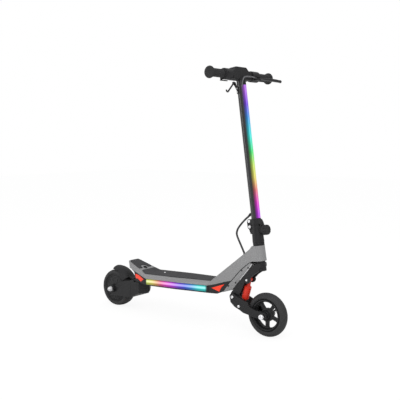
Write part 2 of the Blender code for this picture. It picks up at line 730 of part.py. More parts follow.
def build_rear_wheel(marks):
    carrier = marks["frame"]
    spin = marks["rear_wheel"]
    seat = at(REAR_AXLE)
    reach = REAR_BOSS_OUTER + GAP
    half_length = 0.0660
    flat_end = [
        (0.0, -half_length), (REAR_AXLE_R, -half_length), (REAR_AXLE_R, half_length), (0.0, half_length),
    ]
    shaft = turned(flat_end, 20, "Y")
    shaft.transform(seat)
    piece("rear_axle", shaft, STEEL, carrier)
    for label, sign in SIDES:
        shape = nut(0.0105, 0.0155, reach, sign, REAR_AXLE_R + GAP)
        shape.transform(seat)
        piece(f"rear_axle_nut_{label}", shape, STEEL, carrier)
    stator = [(REAR_AXLE_R + GAP, -0.0120), (0.0420, -0.0120), (0.0420, 0.0120), (REAR_AXLE_R + GAP, 0.0120)]
    shape = turned(stator, 24, "Y")
    shape.transform(seat)
    piece("motor_stator", shape, COPPER, carrier)
    half, rim, bore = 0.0255, REAR_RIM_R - GAP, REAR_AXLE_R + GAP
    hub = [
        (bore, -half), (0.0180, -half - 0.0015), (0.0500, -half + 0.0010), (0.0540, -half + 0.0040),
        (rim, -half + 0.0040), (rim, half - 0.0040), (0.0540, half - 0.0040), (0.0500, half - 0.0010),
        (0.0180, half + 0.0015), (bore, half), (bore, 0.0140), (0.0450, 0.0140), (0.0450, -0.0140),
        (bore, -0.0140),
    ]
    shape = turned(hub, 32, "Y")
    shape.transform(seat)
    piece("motor_hub", shape, BLACK_PAINT, spin)
    width, top, root = REAR_TYRE_HALF, REAR_TYRE_R, REAR_RIM_R
    half_tread = [
        (top, width * 0.25), (top - 0.0012, width * 0.62), (top - 0.0040, width * 0.88),
        (top - 0.0100, width), (root + 0.0040, width), (root, width - 0.0060),
    ]
    tread = [(r, -y) for r, y in reversed(half_tread)] + half_tread
    shape = turned(tread, 32, "Y")
    shape.transform(seat)
    piece("rear_tyre", shape, RUBBER, spin)


def build_front_wheel(marks):
    spin = marks["front_wheel"]
    seat = at(FRONT_AXLE)
    width, top, root = FRONT_TYRE_HALF, FRONT_TYRE_R, FRONT_RIM_R
    angles = np.radians(np.linspace(-84, 84, 7))
    crown = [(top - width * (1.0 - cos(a)) * 0.92, width * sin(a)) for a in angles]
    profile = [(root, -0.0140), (root + 0.0020, -0.0168)] + crown + [(root + 0.0020, 0.0168), (root, 0.0140)]
    shape = turned(profile, 32, "Y")
    shape.transform(seat)
    piece("front_tyre", shape, RUBBER, spin)
    rim = front_rim_shape()
    rim.transform(seat)
    wheel = piece("front_rim", rim, BLACK_PAINT, spin)
    for k in range(SPOKES):
        angle = 2.0 * pi * (k + 0.5) / SPOKES - pi / 2.0
        window = prism(spoke_window(), -0.03, 0.03)
        window.transform(seat @ Matrix.Rotation(-angle, 4, "Y"))
        cut(wheel, window)
    bearing = [
        (AXLE_R + 0.0001, -0.0210), (0.0106, -0.0210), (0.0106, -0.0150), (0.0085, -0.0150),
        (0.0085, 0.0150), (0.0106, 0.0150), (0.0106, 0.0210), (AXLE_R + 0.0001, 0.0210),
    ]
    shape = turned(bearing, 16, "Y")
    shape.transform(seat)
    piece("front_bearings", shape, STEEL, spin)


def front_rim_shape():
    """Rim, web and hub turned in one; the windows between the spokes are cut afterwards."""
    outer = FRONT_RIM_R - GAP
    half = [
        (0.0110, 0.0212), (0.0160, 0.0212), (0.0200, 0.0090), (0.0480, 0.0080),
        (0.0525, 0.0172), (0.0570, 0.0176), (outer, 0.0135),
    ]
    lower = [(r, -y) for r, y in half]
    return turned(lower + half[::-1], 32, "Y")


def spoke_window():
    """Window between two spokes, centred ahead of the hub."""
    inner, outer, spoke_half = 0.0235, 0.0488, 0.0060
    spread_angle = pi / SPOKES
    points = []
    for radius, steps, flip in ((outer, 6, 1.0), (inner, 3, -1.0)):
        limit = spread_angle - spoke_half / radius
        for a in np.linspace(-limit, limit, steps + 1):
            points.append((radius * cos(flip * a), radius * sin(flip * a)))
    return points


def build_fork(marks):
    """Crown, steerer and two plates that run down behind the wheel, welded in one."""
    carrier = marks["steering"]
    pivot, top = mm_point(ARM_PIVOT), mm_point(SHOCK_TOP)
    plate = (
        FORK_BACK + arc(pivot, 14.5, 165.0, 330.0, 8)
        + [(279.0, 156.0), (294.5, 190.0)] + arc(top, 14.0, 225.0, 385.0, 8)
        + [(333.0, 226.0), (357.5, 243.0), (368.0, 262.0), (366.0, 275.5)]
    )
    low = CROWN_LOW
    steerer = [
        (0.0, low), (CROWN_R - 0.001, low), (CROWN_R, low + 0.001), (CROWN_R, HEAD_LOW - 0.0062),
        (0.0175, HEAD_LOW - 0.0056), (0.0175, HEAD_LOW - 0.0004), (STEERER_R, HEAD_LOW - 0.0004),
        (STEERER_R, 0.4050), (0.0, 0.4050),
    ]
    fork = piece("fork", turned(steerer, 24), BLACK_PAINT, carrier, STEER)
    for _, sign in SIDES:
        inner, outer = sorted((sign * FORK_INNER, sign * FORK_OUTER))
        join(fork, prism(side(plate), inner, outer))
    cut(fork, rod((ARM_PIVOT.x, -0.05, ARM_PIVOT.z), (ARM_PIVOT.x, 0.05, ARM_PIVOT.z), 0.0043, 14))
    cut(fork, rod((SHOCK_TOP.x, -0.05, SHOCK_TOP.z), (SHOCK_TOP.x, 0.05, SHOCK_TOP.z), 0.0033, 12))
    cut(fork, rod((0, 0, low + 0.010), (0, 0, 0.42), STEERER_R - 0.0025, 16), STEER)


def bolt(centre, shank_r, head_r, reach, head=0.0045):
    """Through bolt with a low head on each end."""
    profile = [
        (0.0, -reach - head), (head_r * 0.85, -reach - head), (head_r, -reach - head * 0.6),
        (head_r, -reach), (shank_r, -reach), (shank_r, reach), (head_r, reach),
        (head_r, reach + head * 0.6), (head_r * 0.85, reach + head), (0.0, reach + head),
    ]
    return turned(profile, 12, "Y", centre)


def build_arm(marks):
    """Leading swing arm: two plates outside the fork, joined by a web below the shock."""
    carrier = marks["arm"]
    pivot, axle = mm_point(ARM_PIVOT), mm_point(FRONT_AXLE)
    top = [(352.0, 99.0), (326.0, 107.0), (312.0, 121.5), (296.0, 129.0), (262.0, 142.0)]
    low = [(238.0, 113.0), (258.0, 97.0), (279.0, 89.5), (298.0, 80.0), (316.0, 77.5), (350.0, 70.5)]
    outline = arc(axle, 13.5, -95.0, 100.0, 10) + top + arc(pivot, 13.8, 70.0, 215.0, 7) + low
    arm = piece("swing_arm", prism(side(outline), -ARM_OUTER, -ARM_INNER), BLACK_PAINT, carrier)
    join(arm, prism(side(outline), ARM_INNER, ARM_OUTER))
    web = side([
        (255.5, 100.3), (258.0, 97.2), (279.0, 89.7), (298.0, 80.4), (300.0, 83.5), (281.0, 92.6),
        (260.0, 101.0),
    ])
    join(arm, prism(web, -ARM_INNER - 0.002, ARM_INNER + 0.002))
    for spot, radius in ((ARM_PIVOT, 0.0043), (SHOCK_FOOT, 0.0039), (FRONT_AXLE, AXLE_R + GAP)):
        cut(arm, rod((spot.x, -0.05, spot.z), (spot.x, 0.05, spot.z), radius, 20))
    piece("shock_foot_bolt", bolt(SHOCK_FOOT, 0.0036, 0.0052, ARM_OUTER + GAP), STEEL, carrier)
    reach = ARM_OUTER + GAP
    axle_bolt = [
        (0.0, -0.0500), (0.0070, -0.0500), (0.0092, -0.0470), (0.0092, -reach - 0.0020),
        (0.0125, -reach - 0.0020), (0.0125, -reach), (AXLE_R, -reach), (AXLE_R, 0.0480), (0.0, 0.0480),
    ]
    shape = turned(axle_bolt, 18, "Y")
    shape.transform(at(FRONT_AXLE))
    piece("front_axle", shape, STEEL, carrier)
    shape = nut(0.0092, 0.0170, reach, 1.0, AXLE_R + GAP)
    shape.transform(at(FRONT_AXLE))
    piece("front_axle_nut", shape, STEEL, carrier)


def shock_frame():
    down = (SHOCK_FOOT - SHOCK_TOP).normalized()
    across = Vector((0.0, 1.0, 0.0))
    ahead = across.cross(down)
    turn = Matrix((ahead, across, down)).transposed().to_4x4()
    return at(SHOCK_TOP) @ turn


def build_shock(marks):
    """Red barrel on the upper bolt, and a rod with a spring that slides into it."""
    base = shock_frame()
    length = (SHOCK_FOOT - SHOCK_TOP).length
    bore = 0.0115
    barrel = [
        (0.0, 0.0060), (0.0075, 0.0060), (0.0075, 0.0240), (0.0105, 0.0270), (SHOCK_R, 0.0300),
        (SHOCK_R, 0.0760), (0.0132, 0.0790), (bore, 0.0790), (bore, 0.0400), (0.0, 0.0400),
    ]
    body = piece("shock_barrel", turned(barrel, 24), RED_PAINT, marks["shock"], base)
    join(body, turned([(0.0, -0.0080), (0.0085, -0.0080), (0.0085, 0.0080), (0.0, 0.0080)], 16, "Y"), base)
    cut(body, rod((0, -0.03, 0), (0, 0.03, 0), 0.0033, 12), base)
    eye_t = length
    plunger = [
        (0.0, 0.0580), (0.0048, 0.0580), (0.0048, 0.0755), (0.0110, 0.0755), (0.0110, 0.0785),
        (0.0050, 0.0800), (0.0050, eye_t - 0.0120), (0.0075, eye_t - 0.0090), (0.0075, eye_t - 0.0040),
        (0.0, eye_t - 0.0040),
    ]
    slider = piece("shock_rod", turned(plunger, 18), RED_PAINT, marks["shock_rod"], base)
    eye = [(0.0, -0.0090), (0.0078, -0.0090), (0.0078, 0.0090), (0.0, 0.0090)]
    join(slider, turned(eye, 18, "Y", (0, 0, eye_t)), base)
    cut(slider, rod((0, -0.03, eye_t), (0, 0.03, eye_t), 0.0047, 14), base)
    piece("shock_spring", coil(0.0078, 0.0012, 0.0418, 0.0737, 6), STEEL, marks["shock"], base)
    bolt_shape = bolt(SHOCK_TOP, 0.0030, 0.0042, FORK_OUTER + GAP, 0.0030)
    piece("shock_top_bolt", bolt_shape, STEEL, marks["steering"])
    piece("arm_pivot_bolt", bolt(ARM_PIVOT, 0.0040, 0.0057, ARM_OUTER + GAP), STEEL, marks["steering"])


def coil(radius, wire_r, low, high, curls, per_curl=9, facets=4):
    """Round wire wound into a compression spring; prints the least gap between curls."""
    count = curls * per_curl + 1
    pitch = (high - low) / curls
    shape = bmesh.new()
    rings = []
    for k in range(count):
        a = 2.0 * pi * k / per_curl
        centre = Vector((radius * cos(a), radius * sin(a), low + pitch * k / per_curl))
        outward = Vector((cos(a), sin(a), 0.0))
        along = Vector((-radius * sin(a), radius * cos(a), pitch / (2.0 * pi))).normalized()
        rise = along.cross(outward)
        turns = [2.0 * pi * j / facets for j in range(facets)]
        rings.append([shape.verts.new(centre + (outward * cos(t) + rise * sin(t)) * wire_r) for t in turns])
    for ring, after in zip(rings, rings[1:]):
        for j in range(facets):
            shape.faces.new((ring[j], ring[(j + 1) % facets], after[(j + 1) % facets], after[j]))
    shape.faces.new(rings[0])
    shape.faces.new(rings[-1])
    print(f"shock_spring least gap {(pitch - 2.0 * wire_r) / MM:.2f} mm")
    return shape


def build_fold_base(marks):
    """Lower half of the folding joint, clamped on the steerer."""
    carrier = marks["steering"]
    low, high = HEAD_HIGH + 0.0120, FOLD_SPLIT - GAP
    bore = STEERER_R + GAP
    sleeve = [
        (0.0, low), (0.0218, low), (0.0222, low + 0.0020), (0.0196, high), (0.0, high),
    ]
    base = piece("fold_base", turned(sleeve, 28), BLACK_PAINT, carrier, STEER)
    pin = mm_point(FOLD_PIN)
    lug = [(-12.0, 384.0), (-26.0, 386.0)] + arc(pin, FOLD_EAR_R / MM, 195.0, 50.0, 7)
    lug += [(-12.0, 419.0)]
    join(base, prism(side(lug), -FOLD_LUG_HALF, FOLD_LUG_HALF), STEER)
    join(base, block((0.010, -0.0120, 0.3800), (0.0205, 0.0120, 0.4145)), STEER)
    pocket = arc(pin, TONGUE_IN_R - 0.3, 10.5, -33.0, 7)
    pocket = side(pocket + [(40.0, pocket[-1][1]), (40.0, pocket[0][1])])
    cut(base, prism(pocket, -0.0123, 0.0123), STEER)
    across = Vector((0.0, 1.0, 0.0))
    for _, sign in SIDES:
        inner = FOLD_PIN + across * sign * FOLD_LUG_HALF
        outer = FOLD_PIN + across * sign * 0.030
        cut(base, rod(inner, outer, FOLD_EAR_R + 0.0010, 20), STEER)
    cut(base, rod((0, 0, low - 0.01), (0, 0, 0.4056), bore, 20), STEER)
    cut(base, rod((0, 0, 0.4050), (0, 0, high + 0.01), 0.0110, 16), STEER)
    cut(base, rod(FOLD_PIN - across * 0.02, FOLD_PIN + across * 0.02, 0.0033, 12), STEER)
    join(base, rod((0.0175, 0, KNOB_AXIS_T), (0.0410, 0, KNOB_AXIS_T), STUD_R, 16), STEER)
    pin_shape = bolt(FOLD_PIN, 0.0030, 0.0056, FOLD_EAR_OUT + GAP, 0.0030)
    piece("fold_pin", pin_shape, STEEL, carrier, STEER)


def build_knob(marks):
    """Ribbed hand knob with a blind thread, screwed on the stud of the fold base."""
    start, end, bore = 0.0262, 0.0500, STUD_R + GAP
    profile = [
        (0.0, 0.0413), (bore, 0.0413), (bore, start), (0.0165, start), (KNOB_R - 0.0010, start + 0.0010),
        (KNOB_R, start + 0.0040), (KNOB_R, end - 0.0060), (KNOB_R - 0.0020, end - 0.0020), (0.0145, end),
        (0.0120, end - 0.0008), (0.0, end - 0.0008),
    ]
    body = turned(profile, 24, "X", (0, 0, KNOB_AXIS_T))
    knob = piece("fold_knob", body, BLACK_PLASTIC, marks["knob"], STEER)
    ribs = 10
    for k in range(ribs):
        a = 2.0 * pi * k / ribs
        y, t = (KNOB_R + 0.0012) * cos(a), KNOB_AXIS_T + (KNOB_R + 0.0012) * sin(a)
        cut(knob, rod((0.0360, y, t), (0.0540, y, t), 0.0026, 6), STEER)


def build_stem(marks):
    carrier = marks["stem"]
    tube = [(0.0145, STEM_LOW), (STEM_R, STEM_LOW), (STEM_R, STEM_TOP), (0.0145, STEM_TOP)]
    stem = piece("stem_tube", turned(tube, 28), BLACK_PAINT, carrier, STEER)
    seat = ring_sector(0.0158, 0.0300, LENS_HALF_ANGLE + 0.02, LENS_LOW - GAP, LENS_TOP + GAP, 10)
    cut(stem, seat, STEER)
    lens = ring_sector(0.0161, 0.0176, LENS_HALF_ANGLE, LENS_LOW, LENS_TOP, 10)
    piece("stem_light", lens, LIGHT_LENS, carrier, STEER)
    cut(stem, rod((-0.0300, 0, 0.4542), (-0.0100, 0, 0.4670), CABLE_R + 0.0008, 16), STEER)
    build_fold_collar(carrier)


def ring_sector(inner, outer, half_angle, low, high, steps):
    """Part of a tube wall, centred on the front of the stem."""
    angles = np.linspace(-half_angle, half_angle, steps + 1)
    outline = [(outer * cos(a), outer * sin(a)) for a in angles]
    outline += [(inner * cos(a), inner * sin(a)) for a in reversed(angles)]
    return prism(outline, low, high, "Z")


def build_fold_collar(carrier):
    """Upper half of the folding joint: socket for the stem, two ears, and the clamp tongue."""
    low, high = FOLD_SPLIT + GAP, 0.4420
    pin = mm_point(FOLD_PIN)
    across = Vector((0.0, 1.0, 0.0))
    lug_half = FOLD_LUG_HALF + GAP
    outer = [(0.0, low), (0.0194, low), (0.0186, high), (0.0, high)]
    collar = piece("fold_collar", turned(outer, 28), BLACK_PAINT, carrier, STEER)
    split = FOLD_SPLIT / MM + 0.3
    ear = [(-8.0, split), (-8.0, 441.0), (-27.0, 441.5), (-33.0, 436.0)]
    ear += arc(pin, FOLD_EAR_R / MM, 180.0, 409.0, 9)
    for _, sign in SIDES:
        inner, outer_y = sorted((sign * lug_half, sign * FOLD_EAR_OUT))
        join(collar, prism(side(ear), inner, outer_y), STEER)
    bridge = block((-0.0305, -0.0100, 0.4255), (-0.0100, 0.0100, 0.4400))
    join(collar, bridge, STEER)
    tongue = side(
        [(12.0, split), (12.0, 438.0), (18.5, 438.0), (23.0, 428.0)] + arc(pin, TONGUE_OUT_R, 8.5, -29.5, 6)
        + arc(pin, TONGUE_IN_R, -29.5, 8.5, 6)
    )
    join(collar, prism(tongue, -0.0120, 0.0120), STEER)
    relief = rod(FOLD_PIN - across * lug_half, FOLD_PIN + across * lug_half, FOLD_EAR_R + 0.0010, 20)
    cut(collar, relief, STEER)
    cut(collar, rod((0, 0, STEM_LOW - GAP), (0, 0, 0.46), STEM_R + GAP, 28), STEER)
    cut(collar, rod((0, 0, 0.40), (0, 0, 0.43), 0.0120, 16), STEER)
    slot = side([(14.0, KNOB_AXIS_T / MM), (14.0, 370.0), (28.0, 370.0), (28.0, KNOB_AXIS_T / MM)])
    cut(collar, prism(slot, -0.0045, 0.0045), STEER)
    cut(collar, rod((0.014, 0, KNOB_AXIS_T), (0.028, 0, KNOB_AXIS_T), 0.0045, 16), STEER)
    upper = Vector((FOLD_PIN.x, 0.0, 0.4340))
    for spot in (FOLD_PIN, upper):
        cut(collar, rod(spot - across * 0.02, spot + across * 0.02, 0.0033, 12), STEER)
    piece("hinge_bolt", bolt(upper, 0.0030, 0.0056, FOLD_EAR_OUT + GAP, 0.0030), STEEL, carrier, STEER)


def build_handlebar(marks):
    carrier = marks["stem"]
    bore = BAR_R - 0.002
    tube = [(bore, -BAR_HALF), (BAR_R, -BAR_HALF), (BAR_R, BAR_HALF), (bore, BAR_HALF)]
    piece("handlebar", turned(tube, 20, "Y", (0, 0, BAR_T)), DARK_STEEL, carrier, STEER)
    for label, sign in SIDES:
        start = GRIP_INNER if sign > 0 else GRIP_INNER + 0.0062
        profile = [
            (BAR_R + GAP, start), (GRIP_R, start), (GRIP_R + 0.0006, 0.1450), (GRIP_R, 0.1800),
            (0.0200, 0.1832), (GRIP_FLANGE_R, 0.1855), (GRIP_FLANGE_R, 0.1895), (0.0200, GRIP_END),
            (0.0, GRIP_END), (0.0, BAR_HALF + GAP), (BAR_R + GAP, BAR_HALF + GAP),
        ]
        grip = turned(profile, 20, "Y")
        if sign < 0:
            grip.transform(Matrix.Diagonal((1.0, -1.0, 1.0, 1.0)))
        grip.transform(at((0, 0, BAR_T)))
        piece(f"grip_{label}", grip, RUBBER, carrier, STEER)
    build_head_housing(carrier)


def build_head_housing(carrier):
    left = [(26.0, 1004.0), (30.0, 1001.0), (42.0, 990.0), (60.0, 987.5), (60.0, 960.5), (56.0, 957.2)]
    right = [
        (-56.0, 957.2), (-60.0, 960.5), (-60.0, 987.5), (-46.0, 994.5), (-44.0, 1000.0),
        (-37.0, 1004.0),
    ]
    body = prism(side(left + right), -0.0200, 0.0130, "X")
    housing = piece("head_housing", body, BLACK_PLASTIC, carrier, STEER)
    soften(housing, 2.5 * MM, 2)
    cut(housing, rod((0, -0.1, BAR_T), (0, 0.1, BAR_T), BAR_R + GAP, 20), STEER)
    cut(housing, rod((0, 0, 0.92), (0, 0, STEM_TOP + GAP), STEM_R + 0.0006, 28), STEER)
    cut(housing, block((-0.0143, -0.0188, 1.0027), (0.0073, 0.0188, 1.02)), STEER)
    screen = block((-0.0140, -0.0185, 1.0030), (0.0070, 0.0185, 1.0043))
    piece("display_screen", screen, SCREEN, carrier, STEER)


def build_brake(marks):
    """Clamp ring on the bar with a fork for the lever, and the lever on its pin."""
    carrier = marks["stem"]
    ring = [
        (BAR_R + GAP, 0.0608), (0.0185, 0.0608), (COLLAR_R, 0.0630), (COLLAR_R, 0.1045), (0.0190, 0.1068),
        (BAR_R + GAP, 0.1068),
    ]
    perch = piece("brake_perch", turned(ring, 24, "Y", (0, 0, BAR_T)), BLACK_PLASTIC, carrier, STEER)
    half = LEVER_THICK / 2.0
    seat = lever_seat()
    join(perch, block((-0.0070, -0.0095, -half - 0.0035), (0.0080, 0.0115, half + 0.0035)), seat)
    cut(perch, block((-0.0080, -0.0150, -half - GAP), (0.0190, 0.0200, half + GAP)), seat)
    cut(perch, rod((0, 0.06, BAR_T), (0, 0.12, BAR_T), BAR_R + GAP, 20), STEER)
    low, high = Vector((0, 0, -half - 0.002)), Vector((0, 0, half + 0.002))
    join(perch, rod(low, high, 0.0025, 12), seat)
    lever = piece("brake_lever", prism(lever_plan(), -half, half, "Z"), DARK_STEEL, marks["brake"], seat)
    soften(lever, 1.2 * MM, 2)
    join(lever, ball(Vector((0.0335, 0.1065, 0.0)), 0.0056), seat)
    cut(lever, rod(low * 3.0, high * 3.0, 0.0029, 12), seat)


def lever_plan():
    """Blade seen from above, swept along a curve from the pivot at 0 to the tip, in metres."""
    spine = [(0.0, -2.0), (3.0, 8.0), (10.0, 22.0), (18.5, 42.0), (25.0, 65.0), (30.0, 87.0), (33.2, 104.5)]
    widths = [5.6, 5.6, 5.2, 4.6, 4.0, 3.6, 3.2]
    front, back = [], []
    for i, (point, half) in enumerate(zip(spine, widths)):
        here = Vector(point)
        before = Vector(spine[max(i - 1, 0)])
        after = Vector(spine[min(i + 1, len(spine) - 1)])
        along = (after - before).normalized()
        out = Vector((along.y, -along.x)) * half
        front.append(tuple((here + out) * MM))
        back.append(tuple((here - out) * MM))
    heel = [tuple(Vector((5.6 * sin(a), -2.0 - 5.6 * cos(a))) * MM) for a in np.radians((-45.0, 0.0, 45.0))]
    return front + back[::-1] + heel


def ball(centre, radius):
    shape = bmesh.new()
    bmesh.ops.create_uvsphere(shape, u_segments=12, v_segments=6, radius=radius)
    shape.transform(at(centre))
    return shape


THROTTLE_BODY = (0.0680, 0.1072)
BUTTON_ANGLE = radians(5.0)
BUTTON_DIRECTION = Vector((cos(BUTTON_ANGLE), 0.0, sin(BUTTON_ANGLE)))
BUTTON_SEAT = Vector((0.0, -0.1000, BAR_T)) + BUTTON_DIRECTION * COLLAR_R
HOOK_PIVOT = Vector((-0.0335, 0.0, 0.9530))
HOOK_WIRE_R = 0.0031


def build_throttle(marks):
    """Thumb throttle beside the right grip, with the power button on its front."""
    carrier = marks["stem"]
    inner, outer = THROTTLE_BODY
    ring = [
        (BAR_R + GAP, -inner), (0.0190, -inner), (COLLAR_R, -inner - 0.002), (COLLAR_R, -outer + 0.002),
        (0.0190, -outer), (BAR_R + GAP, -outer),
    ]
    body = piece("throttle_body", turned(ring, 24, "Y", (0, 0, BAR_T)), BLACK_PLASTIC, carrier, STEER)
    well_low = BUTTON_SEAT - BUTTON_DIRECTION * 0.0045
    well_high = BUTTON_SEAT + BUTTON_DIRECTION * 0.0060
    cut(body, rod(well_low, well_high, 0.0037, 16), STEER)
    button_low = BUTTON_SEAT - BUTTON_DIRECTION * 0.0022
    button_high = BUTTON_SEAT + BUTTON_DIRECTION * 0.0014
    piece("power_button", rod(button_low, button_high, 0.0034, 16), RUBBER, marks["button"], STEER)
    edge = outer + GAP
    low = -edge - 0.0055
    rotor = [(BAR_R + GAP, -edge), (0.0175, -edge), (0.0175, low), (BAR_R + GAP, low)]
    hub = turned(rotor, 20, "Y", (0, 0, BAR_T))
    paddle = piece("throttle_paddle", hub, DARK_STEEL, marks["throttle"], STEER)
    blade = block((-0.0120, -0.1160, BAR_T - 0.0240), (-0.0050, -0.0760, BAR_T - 0.0212))
    join(paddle, blade, STEER)
    join(paddle, block((-0.0120, low, BAR_T - 0.0230), (-0.0050, -edge, BAR_T - 0.0120)), STEER)


def build_hook(marks):
    """Half collar behind the stem's top with the folding hook on it."""
    carrier = marks["stem"]
    span = np.radians(np.linspace(100.0, 260.0, 17))
    inner, outer = STEM_R + GAP, 0.0200
    outline = [(outer * cos(a), outer * sin(a)) for a in span]
    outline += [(inner * cos(a), inner * sin(a)) for a in reversed(span)]
    bracket = piece("hook_bracket", prism(outline, 0.9090, 0.9330, "Z"), BLACK_PAINT, carrier, STEER)
    lug = side([
        (-18.5, 912.0), (-24.0, 918.0), (-37.5, 947.0), (-38.0, 955.0), (-33.5, 957.5), (-29.5, 955.0),
        (-25.5, 940.0), (-18.5, 930.0),
    ])
    join(bracket, prism(lug, 0.0038, 0.0078), STEER)
    low = HOOK_PIVOT + Vector((0, -0.0045, 0))
    high = HOOK_PIVOT + Vector((0, 0.0050, 0))
    join(bracket, rod(low, high, 0.0018, 12), STEER)
    wire = hook_wire()
    hook = piece("fold_hook", wire, DARK_STEEL, marks["hook"], STEER)
    eye_half = Vector((0, HOOK_WIRE_R + 0.0003, 0))
    eye = rod(HOOK_PIVOT - eye_half, HOOK_PIVOT + eye_half, 0.0052, 16)
    join(hook, eye, STEER)
    cut(hook, rod(low - Vector((0, 0.01, 0)), high + Vector((0, 0.01, 0)), 0.0022, 12), STEER)


def hook_wire():
    """J-shaped wire: straight shank, round bend, short upturned tip; side view in the steering frame."""
    pivot = HOOK_PIVOT
    shank_end = Vector((-0.0608, pivot.y, 0.9290))
    bend_centre = shank_end + Vector((-0.0040, 0.0, 0.0022))
    path = [pivot.lerp(shank_end, s) for s in (0.08, 0.5, 1.0)]
    for a in np.radians(np.linspace(-30.0, -165.0, 6)):
        path.append(bend_centre + Vector((0.0048 * cos(a), 0.0, 0.0048 * sin(a))))
    path.append(path[-1] + Vector((-0.0014, 0.0, 0.0060)))
    return sweep(path, HOOK_WIRE_R, 10)


def sweep(path, radius, facets):
    """Round wire along a path that lies in one plane across Y."""
    shape = bmesh.new()
    rings = []
    for i, here in enumerate(path):
        before, after = path[max(i - 1, 0)], path[min(i + 1, len(path) - 1)]
        along = (after - before).normalized()
        across = Vector((0.0, 1.0, 0.0))
        up = along.cross(across)
        turns = [2.0 * pi * k / facets for k in range(facets)]
        rings.append([shape.verts.new(here + (across * cos(t) + up * sin(t)) * radius) for t in turns])
    for ring, following in zip(rings, rings[1:]):
        for k in range(facets):
            shape.faces.new((ring[k], ring[(k + 1) % facets], following[(k + 1) % facets], following[k]))
    shape.faces.new(rings[0])
    shape.faces.new(rings[-1])
    return shape


def smooth_route(points, spacing):
    """Even points on a smooth curve through the route's own points."""
    points = np.array(points) * MM
    ends = np.vstack([2 * points[0] - points[1], points, 2 * points[-1] - points[-2]])
    fine = []
    for i in range(1, len(ends) - 2):
        p0, p1, p2, p3 = ends[i - 1], ends[i], ends[i + 1], ends[i + 2]
        for s in np.linspace(0.0, 1.0, 20, endpoint=False):
            fine.append(0.5 * (2 * p1 + (p2 - p0) * s + (2 * p0 - 5 * p1 + 4 * p2 - p3) * s**2
                               + (3 * p1 - p0 - 3 * p2 + p3) * s**3))
    fine.append(points[-1])
    fine = np.array(fine)
    steps = np.concatenate([[0.0], np.cumsum(np.linalg.norm(np.diff(fine, axis=0), axis=1))])
    count = max(2, round(steps[-1] / spacing))
    places = np.linspace(0.0, steps[-1], count + 1)
    return [(float(np.interp(s, steps, fine[:, 0])), float(np.interp(s, steps, fine[:, 1]))) for s in places]


def build_cable(marks):
    route = smooth_route(CABLE_ROUTE, CABLE_SPACING)
    curve = bpy.data.curves.new("main_cable", "CURVE")
    curve.dimensions = "3D"
    curve.bevel_depth = CABLE_R
    curve.bevel_resolution = 2
    curve.use_fill_caps = True
    spline = curve.splines.new("POLY")
    spline.points.add(len(route) - 1)
    for point, (x, z) in zip(spline.points, route):
        point.co = (x, 0.0, z, 1.0)
    cable = bpy.data.objects.new("main_cable", curve)
    bpy.context.collection.objects.link(cable)
    curve.materials.append(finish_material("main_cable", RUBBER))
    hang(cable, marks["steering"])


def main():
    clear_scene()
    marks = joint_marks()
    build_frame(marks)
    build_neck_cover(marks)
    build_belly_plate(marks)
    build_mats(marks)
    build_rails(marks)
    build_inner_frame_parts(marks)
    build_rear_fork(marks)
    build_fender(marks)
    build_rear_wheel(marks)
    build_front_wheel(marks)
    build_fork(marks)
    build_arm(marks)
    build_shock(marks)
    build_fold_base(marks)
    build_knob(marks)
    build_stem(marks)
    build_handlebar(marks)
    build_brake(marks)
    build_throttle(marks)
    build_hook(marks)
    build_cable(marks)


main()
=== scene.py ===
"""Looks of a folding electric scooter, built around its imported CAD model.

Lengths are in metres: +X ahead, +Y to the rider's left, +Z up, the ground at zero. The steering
frame has its origin where the steering axis meets the ground, Z along that axis and X ahead.
"""

import json
from math import atan2, cos, pi, radians, sin

import bmesh
import bpy
import numpy as np
from bpy.props import FloatProperty, FloatVectorProperty, PointerProperty
from bpy.types import Operator, Panel, PropertyGroup
from mathutils import Matrix, Vector


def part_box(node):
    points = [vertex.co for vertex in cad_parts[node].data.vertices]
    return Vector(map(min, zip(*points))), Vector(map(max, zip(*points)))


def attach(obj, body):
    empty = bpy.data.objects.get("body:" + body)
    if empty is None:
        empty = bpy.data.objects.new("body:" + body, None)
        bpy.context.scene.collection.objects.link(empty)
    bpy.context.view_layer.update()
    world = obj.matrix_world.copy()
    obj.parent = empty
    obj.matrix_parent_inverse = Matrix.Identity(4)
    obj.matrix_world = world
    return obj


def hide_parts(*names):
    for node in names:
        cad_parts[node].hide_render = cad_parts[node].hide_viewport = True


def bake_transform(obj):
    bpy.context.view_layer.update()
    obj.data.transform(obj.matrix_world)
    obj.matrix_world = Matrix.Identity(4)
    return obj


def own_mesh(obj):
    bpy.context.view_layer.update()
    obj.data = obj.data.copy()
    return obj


bl_info = {
    "name": "Folding Electric Scooter",
    "version": (1, 0, 0),
    "blender": (4, 5, 0),
    "location": "View3D > Sidebar > Scooter",
    "description": "Finishes and detailed pieces of a folding electric scooter",
    "category": "Add Mesh",
}

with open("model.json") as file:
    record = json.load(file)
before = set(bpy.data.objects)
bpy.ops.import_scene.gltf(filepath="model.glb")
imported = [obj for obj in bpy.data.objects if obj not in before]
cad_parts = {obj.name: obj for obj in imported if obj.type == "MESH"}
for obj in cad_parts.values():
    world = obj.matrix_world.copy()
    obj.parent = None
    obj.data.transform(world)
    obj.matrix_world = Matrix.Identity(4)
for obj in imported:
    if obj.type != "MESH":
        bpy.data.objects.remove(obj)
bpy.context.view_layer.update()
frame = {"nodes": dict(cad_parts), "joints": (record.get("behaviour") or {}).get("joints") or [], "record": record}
NODES = frame["nodes"]
RECORD = frame["record"]
JOINTS = {joint["name"]: joint for joint in frame["joints"]}
BODY = {node: body for body, nodes in RECORD["behaviour"]["bodies"].items() for node in nodes}
SLOT = {row["node"]: row["material_slot"] for row in RECORD["subparts"]}

MM = 0.001
SIDES = (("right", -1.0), ("left", 1.0))
AHEAD, LEFT, UP = Vector((1.0, 0.0, 0.0)), Vector((0.0, 1.0, 0.0)), Vector((0.0, 0.0, 1.0))

